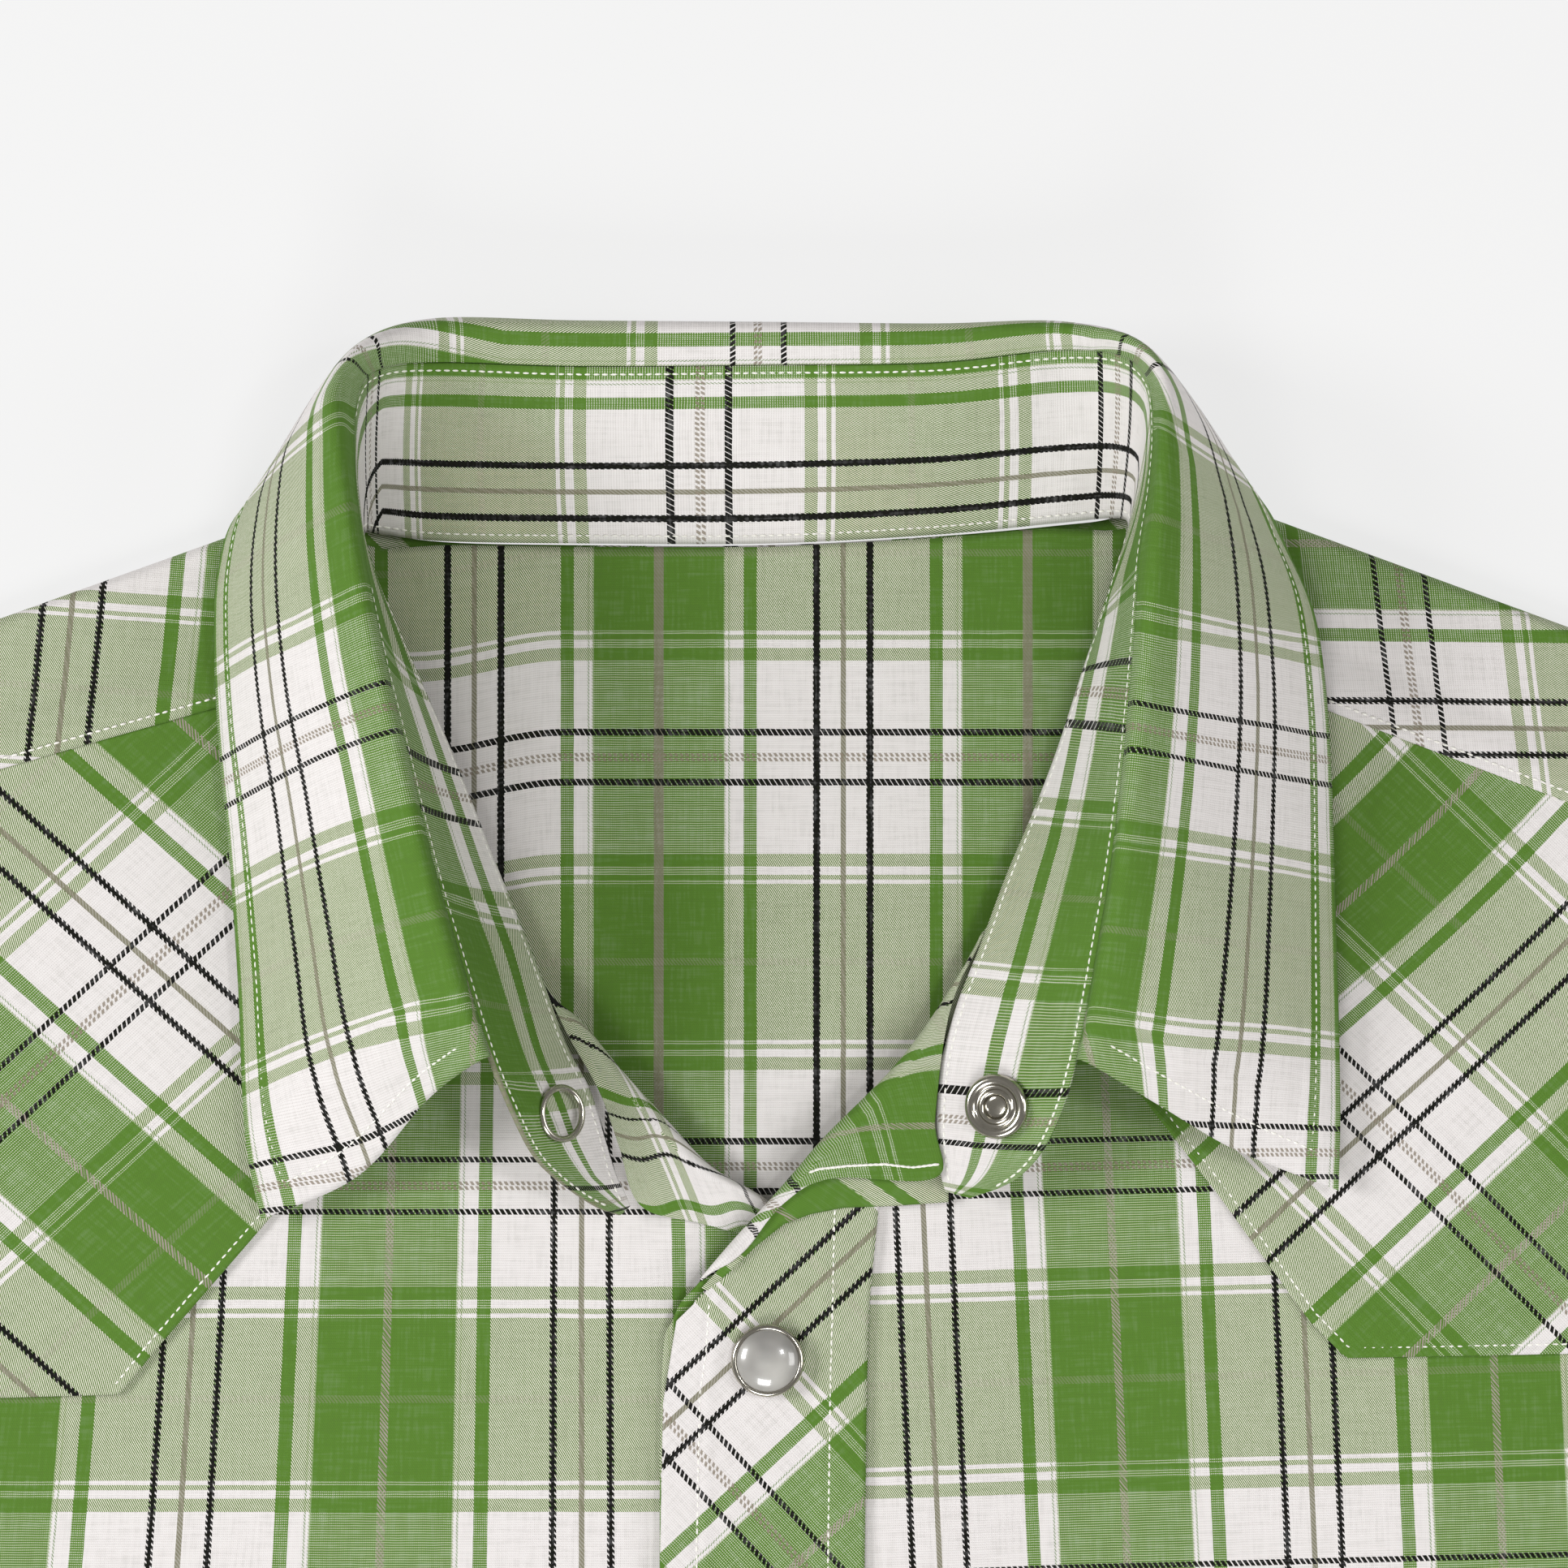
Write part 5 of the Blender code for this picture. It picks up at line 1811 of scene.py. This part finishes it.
@dataclass
class Fall:
    """The collar's leaf: sewn to the stand's upper edge, it rises to its roll and turns down outside it."""

    stand: Stand
    name: str = "collar_leaf"
    stitch: float = 6.0
    wall: float = 0.9
    seam_gap: float = 0.15           # from the stand's upper edge
    per_course: int = 8              # steps in which a section is measured between two courses
    at_seam: Table = Table((0.0, -41.0), (1.0, -34.5), (7.0, -34.5), (9.5, -22.9), (13.5, -22.9),
                           (16.0, -34.5), (24.0, -34.5), (25.0, -41.0))
    at_edge: Table = Table((0.0, 24.0), (7.0, 24.0), (9.5, 34.5), (13.5, 34.5), (16.0, 24.0), (25.0, 24.0))

    def __post_init__(self) -> None:
        """Lay the five courses that run the length of the leaf."""
        sections = []
        for row, fall in zip(STAND[FALL_FIRST:FALL_LAST + 1], FALL):
            upper, lower = Vector(row.upper), Vector(row.lower)
            seam = upper + (upper - lower).normalized() * self.seam_gap
            sections.append((seam, fall.crest, fall.upper, fall.lower, fall.edge))
        self.courses = [Curve(points) for points in zip(*sections)]
        self.end = float(self.courses[0].last)
        self.steps = (len(self.courses) - 1) * self.per_course
        self.seam_along = Table(*enumerate(SEAM_ALONG))
        self.edge_along = Table(*enumerate(EDGE_ALONG))
        self.sections: dict[float, tuple[Curve, list[float]]] = {}

    def section(self, place: float) -> tuple[Curve, list[float]]:
        """The leaf's section at a place along it, and its length up to each of its points.

        Args:
            place: Row of the leaf.

        Returns:
            The section and its lengths.
        """
        if place not in self.sections:
            curve = Curve([course.at(place) for course in self.courses])
            lengths = [0.0]
            for i in range(self.steps):
                step = curve.at((i + 1) / self.per_course) - curve.at(i / self.per_course)
                lengths.append(lengths[-1] + step.length)
            self.sections[place] = (curve, lengths)
        return self.sections[place]

    def point(self, share: float, place: float) -> Vector:
        """A point of the leaf's middle at a share of the section's length, from the seam to the edge.

        Args:
            share: From the seam to the edge.
            place: Row of the leaf.

        Returns:
            The point.
        """
        curve, lengths = self.section(place)
        wanted = share * lengths[-1]
        k = 0
        while k < self.steps - 1 and lengths[k + 1] < wanted:
            k += 1
        t = (wanted - lengths[k]) / max(lengths[k + 1] - lengths[k], 1e-6)
        point = curve.at((k + t) / self.per_course)
        off = (1.0 - share) * lengths[-1]
        calm = smoothstep(off / 12.0) * smoothstep((share - 0.25) / 0.2)
        soft = 0.3 * ripple(point.x, point.y, 24.0, 6.0) * calm
        relief = hem_relief(off, place * 15.0, self.stitch, 8.0, 0.25)
        return Vector((point.x, point.y, max(point.z + soft + relief, self.wall / 2)))

    def grain(self, share: float, place: float, point: Point) -> tuple[float, float]:
        """The cloth's map on the leaf."""
        u = self.at_seam.at(place) + (self.at_edge.at(place) - self.at_seam.at(place)) * share
        v = self.seam_along.at(place) + (self.edge_along.at(place) - self.seam_along.at(place)) * share
        return (u * MM, v * MM)

    def build(self, finish: bpy.types.Material, sewing: Sewing) -> bpy.types.Object:
        """Build the leaf and topstitch it along its three free edges.

        Args:
            finish: The cloth.
            sewing: Takes its stitches.

        Returns:
            The piece.
        """
        sheet = Sheet(self.name)
        places = self.courses[-1].rows(lambda p: 1.2)
        sheet.patch(shares(66), places, self.point, self.grain)
        piece = sheet.make(finish, wall=self.wall)
        declare(piece, (0.50, 0.075), ("front_yoke_right", "front_yoke_left", "back_yoke"), self.name)
        first, last = self.inside(0.0, 1.0), self.inside(self.end, -1.0)
        down = shares(24)[3:]
        line = [(share, first) for share in down if share < self.edge_share(first)]
        for i in range(901):
            place = first + (last - first) * i / 900
            line.append((self.edge_share(place), place))
        line += [(share, last) for share in reversed(down) if share < self.edge_share(last)]
        points = [self.point(share, place) for share, place in line]
        normals = [self.normal(share, place) for share, place in line]
        sewing.line("leaf_stitching", points, normals, lift=self.wall / 2)
        return piece

    def edge_share(self, place: float) -> float:
        """The share of the section at which the stitches run along the free edge."""
        return 1.0 - self.stitch / self.section(place)[1][-1]

    def inside(self, place: float, way: float) -> float:
        """The place that is the stitches' distance inside the leaf's end."""
        here = self.courses[3].at(place)
        there = self.courses[3].at(place + way)
        return place + way * self.stitch / (there - here).length

    def normal(self, share: float, place: float) -> Vector:
        """The way out of the leaf's outer face.

        Args:
            share: From the seam to the edge.
            place: Row of the leaf.

        Returns:
            The way.
        """
        step = 0.02
        down = self.point(min(share + step, 1.0), place) - self.point(share - step, place)
        on = self.point(share, min(place + step, self.end)) - self.point(share, max(place - step, 0.0))
        normal = on.cross(down).normalized()
        return -normal if normal.z < 0 else normal


def spun(shape: bmesh.types.BMesh, profile: Sequence[tuple[float, float]], place: Vector, axis: Vector,
         steps: int = 48, material: int = 0) -> None:
    """Turn a profile of radius and height about an axis through a place.

    Args:
        shape: Takes the faces.
        profile: Points from the axis outwards, in millimetres.
        place: Point of the axis at height 0, in millimetres.
        axis: Its direction.
        steps: How many steps go round.
        material: The faces' material number.
    """
    turn = axis.to_track_quat("Z", "Y").to_matrix()
    centre = placed(place)
    before = set(shape.faces)
    verts = [shape.verts.new(centre + turn @ Vector((r * MM, 0.0, z * MM))) for r, z in profile]
    edges = [shape.edges.new(pair) for pair in zip(verts, verts[1:])]
    bmesh.ops.spin(shape, geom=verts + edges, cent=centre, axis=turn @ UP, dvec=(0.0, 0.0, 0.0),
                   angle=math.tau, steps=steps, use_merge=True, use_duplicate=False)
    for face in shape.faces:
        if face not in before:
            face.material_index = material


@dataclass
class Snaps:
    """Pearl caps in thin rims down the placket, the ring and the socket that close the stand."""

    front: Front
    stand: Stand
    first: float = -151.9
    pitch: float = 88.0
    count: int = 7
    pearl: tuple[tuple[float, float], ...] = (
        (0.0, 3.1), (0.9, 3.07), (1.8, 2.98), (2.7, 2.83), (3.6, 2.6), (4.3, 2.33), (4.9, 2.0), (5.4, 1.62),
        (5.7, 1.3), (5.85, 1.0))
    rim: tuple[tuple[float, float], ...] = (
        (5.75, 0.9), (5.8, 1.3), (5.95, 1.5), (6.2, 1.52), (6.5, 1.36), (6.72, 1.05), (6.8, 0.7), (6.7, 0.35),
        (6.4, 0.1), (5.9, 0.0))
    lift: float = 1.0 + CLOTH / 2    # from the middle of the front to the underside of a cap
    ring: float = 4.75
    wire: float = 0.62
    ring_row: float = 3.8            # rows of the stand where the ring and the socket are
    socket_row: float = 30.8
    up_stand: float = 0.47           # share of its height
    off_stand: float = 0.85          # from its middle
    tip: float = 0.22                # how far they are tipped up
    socket_wide: float = 1.08
    socket_high: float = 1.2
    socket: tuple[tuple[float, float], ...] = (
        (0.0, 0.25), (1.2, 0.28), (1.75, 0.4), (2.0, 0.7), (2.1, 1.1), (2.3, 1.32), (2.6, 1.36), (2.9, 1.22),
        (3.05, 0.98), (3.3, 0.86), (3.6, 0.9), (3.8, 1.1), (4.1, 1.32), (4.5, 1.42), (4.9, 1.38), (5.3, 1.15),
        (5.55, 0.75), (5.6, 0.4), (5.4, 0.1), (5.1, 0.0))

    def build(self, pearl: bpy.types.Material, metal: bpy.types.Material) -> None:
        """Build all of them.

        Args:
            pearl: The caps' material.
            metal: The rims', the ring's and the socket's.
        """
        for i in range(self.count):
            y = self.first - self.pitch * i
            base = max(self.front.height(x, y + d) for x in (-6.0, 0.0, 6.0) for d in (-6.0, 0.0, 6.0))
            place = Vector((0.0, y, base + self.lift))
            cap = bmesh.new()
            spun(cap, self.pearl, place, UP)
            self.finish(add_piece(f"snap_pearl_{i + 1}", cap, pearl), "snap_pearl", f"snap_cap_{i + 1}")
            rim = bmesh.new()
            spun(rim, self.rim, place, UP)
            self.finish(add_piece(f"snap_rim_{i + 1}", rim, metal), "snap_metal")
        self.build_ring(metal)
        self.build_socket(metal)

    def finish(self, piece: bpy.types.Object, slot: str, *nodes: str) -> None:
        """Hide the CAD parts that a piece stands for."""
        if nodes:
            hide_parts(*nodes)

    def build_ring(self, metal: bpy.types.Material) -> None:
        """The open pronged ring at the stand's right end.

        Args:
            metal: The material.
        """
        place, axis = self.on_stand(self.ring_row)
        shape = bmesh.new()
        angles = [a * math.tau / 12 for a in range(13)]
        wire = [(self.ring + self.wire * math.cos(a), self.wire * (1 - math.sin(a))) for a in angles]
        spun(shape, wire, place, axis, 64)
        self.finish(add_piece("snap_ring_wire", shape, metal), "snap_metal", "snap_ring")

    def build_socket(self, metal: bpy.types.Material) -> None:
        """The socket at its left end."""
        place, axis = self.on_stand(self.socket_row)
        shape = bmesh.new()
        spun(shape, [(r * self.socket_wide, z * self.socket_high) for r, z in self.socket], place, axis, 64)
        self.finish(add_piece("snap_socket_shell", shape, metal), "snap_metal", "snap_socket")

    def on_stand(self, row: float) -> tuple[Vector, Vector]:
        """A place on the stand's inner face and the way out of it."""
        normal = self.stand.normal(self.up_stand, row)
        tipped = (normal + UP * self.tip).normalized()
        return self.stand.point(self.up_stand, row) + normal * self.off_stand, tipped


# ---------------------------------------------------------------- the whole shirt

TURN_RIGHT = (
    Turn((-41.4, -82.6), 8.6),
    Turn((-37.0, -91.6), 9.0),
    Turn((-31.2, -102.0), 9.2),
    Turn((-27.6, -112.0), 9.0),
    Turn((-23.6, -123.2), 7.8),
    Turn((-12.0, -126.8), 6.2),
)
TURN_LEFT = (
    Turn((39.2, -73.4), 9.6),
    Turn((33.6, -87.6), 10.6),
    Turn((31.0, -107.0), 11.0),
    Turn((31.2, -117.8), 11.2),
    Turn((12.0, -118.0), 11.2),
    Turn((3.2, -122.3), 10.9),
    Turn((-4.4, -131.5), 10.6),
)
CORD = ((31.5, -115.4), (26.8, -116.0), (21.6, -115.4), (14.8, -115.7), (9.4, -116.3), (7.0, -117.2))
LIP_HIDDEN = ((33.5, -114.0), (22.0, -115.0), (12.0, -115.6), (6.0, -118.6), (1.6, -123.0), (-5.6, -131.2),
              (-12.2, -138.4))
LIP_EDGE = ((33.5, -122.6), (22.0, -123.3), (14.0, -123.5), (8.0, -124.6), (3.0, -126.4), (-2.4, -130.6),
            (-10.9, -139.0))
FOLDED_LINES = Table((-32.0, 5.12), (-27.0, 0.0), (-21.6, -5.12), (-12.0, -15.9), (-10.2, -17.85),
                     (-8.4, -15.9), (-6.2, -5.12), (-2.0, 0.0), (2.2, 5.12), (12.5, 17.85), (16.0, 22.0),
                     (30.0, 36.0))
FRONT_YOKE_RIGHT = ((-45.0, -74.4), (-73.3, -103.7), (-93.6, -127.1), (-113.9, -150.5), (-120.4, -158.6),
                    (-142.5, -159.2), (-172.0, -158.0), (-210.4, -136.0))
FRONT_YOKE_LEFT = ((42.0, -69.6), (62.0, -93.6), (83.5, -121.2), (100.4, -144.6), (107.4, -151.8),
                   (148.6, -151.0), (178.0, -149.0), (210.0, -130.0))


@dataclass(frozen=True)
class Stage:
    """Pale floor, soft lights on all sides and the camera above the shirt."""

    camera: Point = (3.03, -45.15, 1100.0)
    seen_across: float = 292.73

    def build(self) -> None:
        """Build the stage."""
        self.build_floor()
        self.build_lights()
        view = bpy.data.cameras.new("camera")
        view.sensor_width = 36.0
        view.lens = 36.0 * self.camera[2] / self.seen_across
        view.clip_end = 10.0
        camera = bpy.data.objects.new("camera", view)
        camera.location = placed(self.camera)
        bpy.context.scene.collection.objects.link(camera)
        bpy.context.scene.camera = camera

    def build_floor(self) -> None:
        """A plain pale floor."""
        shape = bmesh.new()
        bmesh.ops.create_grid(shape, x_segments=1, y_segments=1, size=12.0)
        mesh = bpy.data.meshes.new("floor")
        shape.to_mesh(mesh)
        shape.free()
        floor = bpy.data.objects.new("floor", mesh)
        floor.location = (0.0, 0.0, -0.0002)
        bpy.context.scene.collection.objects.link(floor)
        net = Net("pale_floor")
        mesh.materials.append(net.finish(linear("707070"), 0.9, Specular_IOR_Level=0.0,
                                         Emission_Color=linear("DCDCDC"), Emission_Strength=1.0))

    def build_lights(self) -> None:
        """Soft lights and an even white sky."""
        self.light("right_softbox", (-1.45, 0.5, 0.95), 0.6, 21.0)
        self.light("left_softbox", (1.5, 0.2, 1.0), 0.8, 9.0)
        self.light("front_softbox", (-0.2, -1.1, 1.1), 0.7, 16.5)
        self.light("window", (0.6, 0.48, 1.24), 0.16, 3.0)
        world = bpy.data.worlds.new("sky")
        world.use_nodes = True
        back = world.node_tree.nodes["Background"]
        back.inputs["Color"].default_value = (1.0, 0.975, 0.93, 1.0)
        back.inputs["Strength"].default_value = 0.25
        bpy.context.scene.world = world
        bpy.context.scene.view_settings.view_transform = "Standard"

    def light(self, name: str, place: Point, size: float, power: float) -> None:
        """Add a square light that looks at the collar.

        Args:
            name: Its name.
            place: Where it hangs, in metres.
            size: Its side in metres.
            power: Watts.
        """
        data = bpy.data.lights.new(name, "AREA")
        data.shape = "SQUARE"
        data.size = size
        data.energy = power
        lamp = bpy.data.objects.new(name, data)
        lamp.location = place
        aim = Vector((0.0, 0.3, 0.0)) - Vector(place)
        lamp.rotation_euler = aim.to_track_quat("-Z", "Y").to_euler()
        bpy.context.scene.collection.objects.link(lamp)


def main() -> None:
    """Build the shirt piece by piece and report each."""
    right_side = Plaid("plaid_right_side").make()
    reverse = Plaid("plaid_reverse", Face.REVERSE).make()
    sewing = Sewing()
    front_right = Front("front_right", Side.RIGHT, FRONT_RIGHT, TURN_RIGHT, right_height,
                        Grain(-34.6, -119.85, fan=0.00083),
                        BentGrain(-18.5, -113.9, weft=-68.4, warp=180.0, u=2.04, v=22.0, v_scale=1.4,
                                  lines=FOLDED_LINES),
                        creases=(Crease((-40.0, -150.0), (-12.0, -122.0), 4.0, 0.9),),
                        bend=6.0, bend_reach=1.3, wave=0.6)
    front_left = Front("front_left", Side.LEFT, FRONT_LEFT, TURN_LEFT, left_height,
                       Grain(28.5, -117.0, weft=1.5, warp=92.7, u_scale=1.014),
                       Grain(20.3, -110.2, weft=105.0, warp=0.0, u=33.1, v=22.0, u_scale=1.165),
                       lip=(LIP_HIDDEN, LIP_EDGE),
                       lip_grain=Grain(16.7, -120.5, weft=234.0, warp=-36.0, u=22.4, v=31.0, u_scale=1.15,
                                       v_scale=0.25))
    back = Back(Grain(14.07, -40.16, u_scale=1.03, v_scale=1.042))
    back_yoke = BackYoke(Grain(-130.8, -27.2, weft=-4.0, warp=84.6, v=39.7, u_scale=0.947, v_scale=1.14),
                         Grain(120.8, -34.7, weft=96.8, warp=-0.5, u_scale=1.03, v_scale=1.054),
                         Grain(0.0, 0.0, weft=45.0, warp=135.0))
    yoke_right = FrontYoke("front_yoke_right", front_right, FRONT_YOKE_RIGHT,
                           Grain(-114.6, -78.6, weft=42.8, warp=-41.7, u_scale=0.947, v_scale=0.984))
    yoke_left = FrontYoke("front_yoke_left", front_left, FRONT_YOKE_LEFT,
                          Grain(113.07, -106.94, weft=-45.4, warp=44.0, u_scale=0.98, v_scale=1.08),
                          drawn=(2.1, -4.5))
    stand = Stand()
    built = [
        back_yoke.build(right_side, sewing),
        back.build(reverse),
        front_right.build(right_side),
        front_left.build(right_side),
        yoke_right.build(right_side, sewing),
        yoke_left.build(right_side, sewing),
        Placket(front_left, Grain(-18.2, -163.4, weft=-47.0, warp=43.0)).build(right_side, sewing),
        Sleeve(Side.RIGHT, Grain(-300.0, -200.0, weft=-20.0, warp=70.0)).build(right_side, sewing),
        Sleeve(Side.LEFT, Grain(300.0, -200.0, weft=20.0, warp=110.0)).build(right_side, sewing),
        stand.build(reverse, sewing),
        Fall(stand).build(right_side, sewing),
    ]
    thread = Thread().make()
    cord = Sewing(pitch=1.0, length=1.5, width=0.6, thick=0.5)
    sew_on(cord, "corner_cord", CORD, lambda x, y: TURN_LEFT[3].height)
    built += sewing.make(thread) + cord.make(thread)
    Snaps(front_left, stand).build(Pearl().make(), Metal().make())
    for piece in built:
        log.info("built %s with %d faces", piece.name, len(piece.data.polygons))
    Stage().build()


if __name__ == "__main__":
    main()
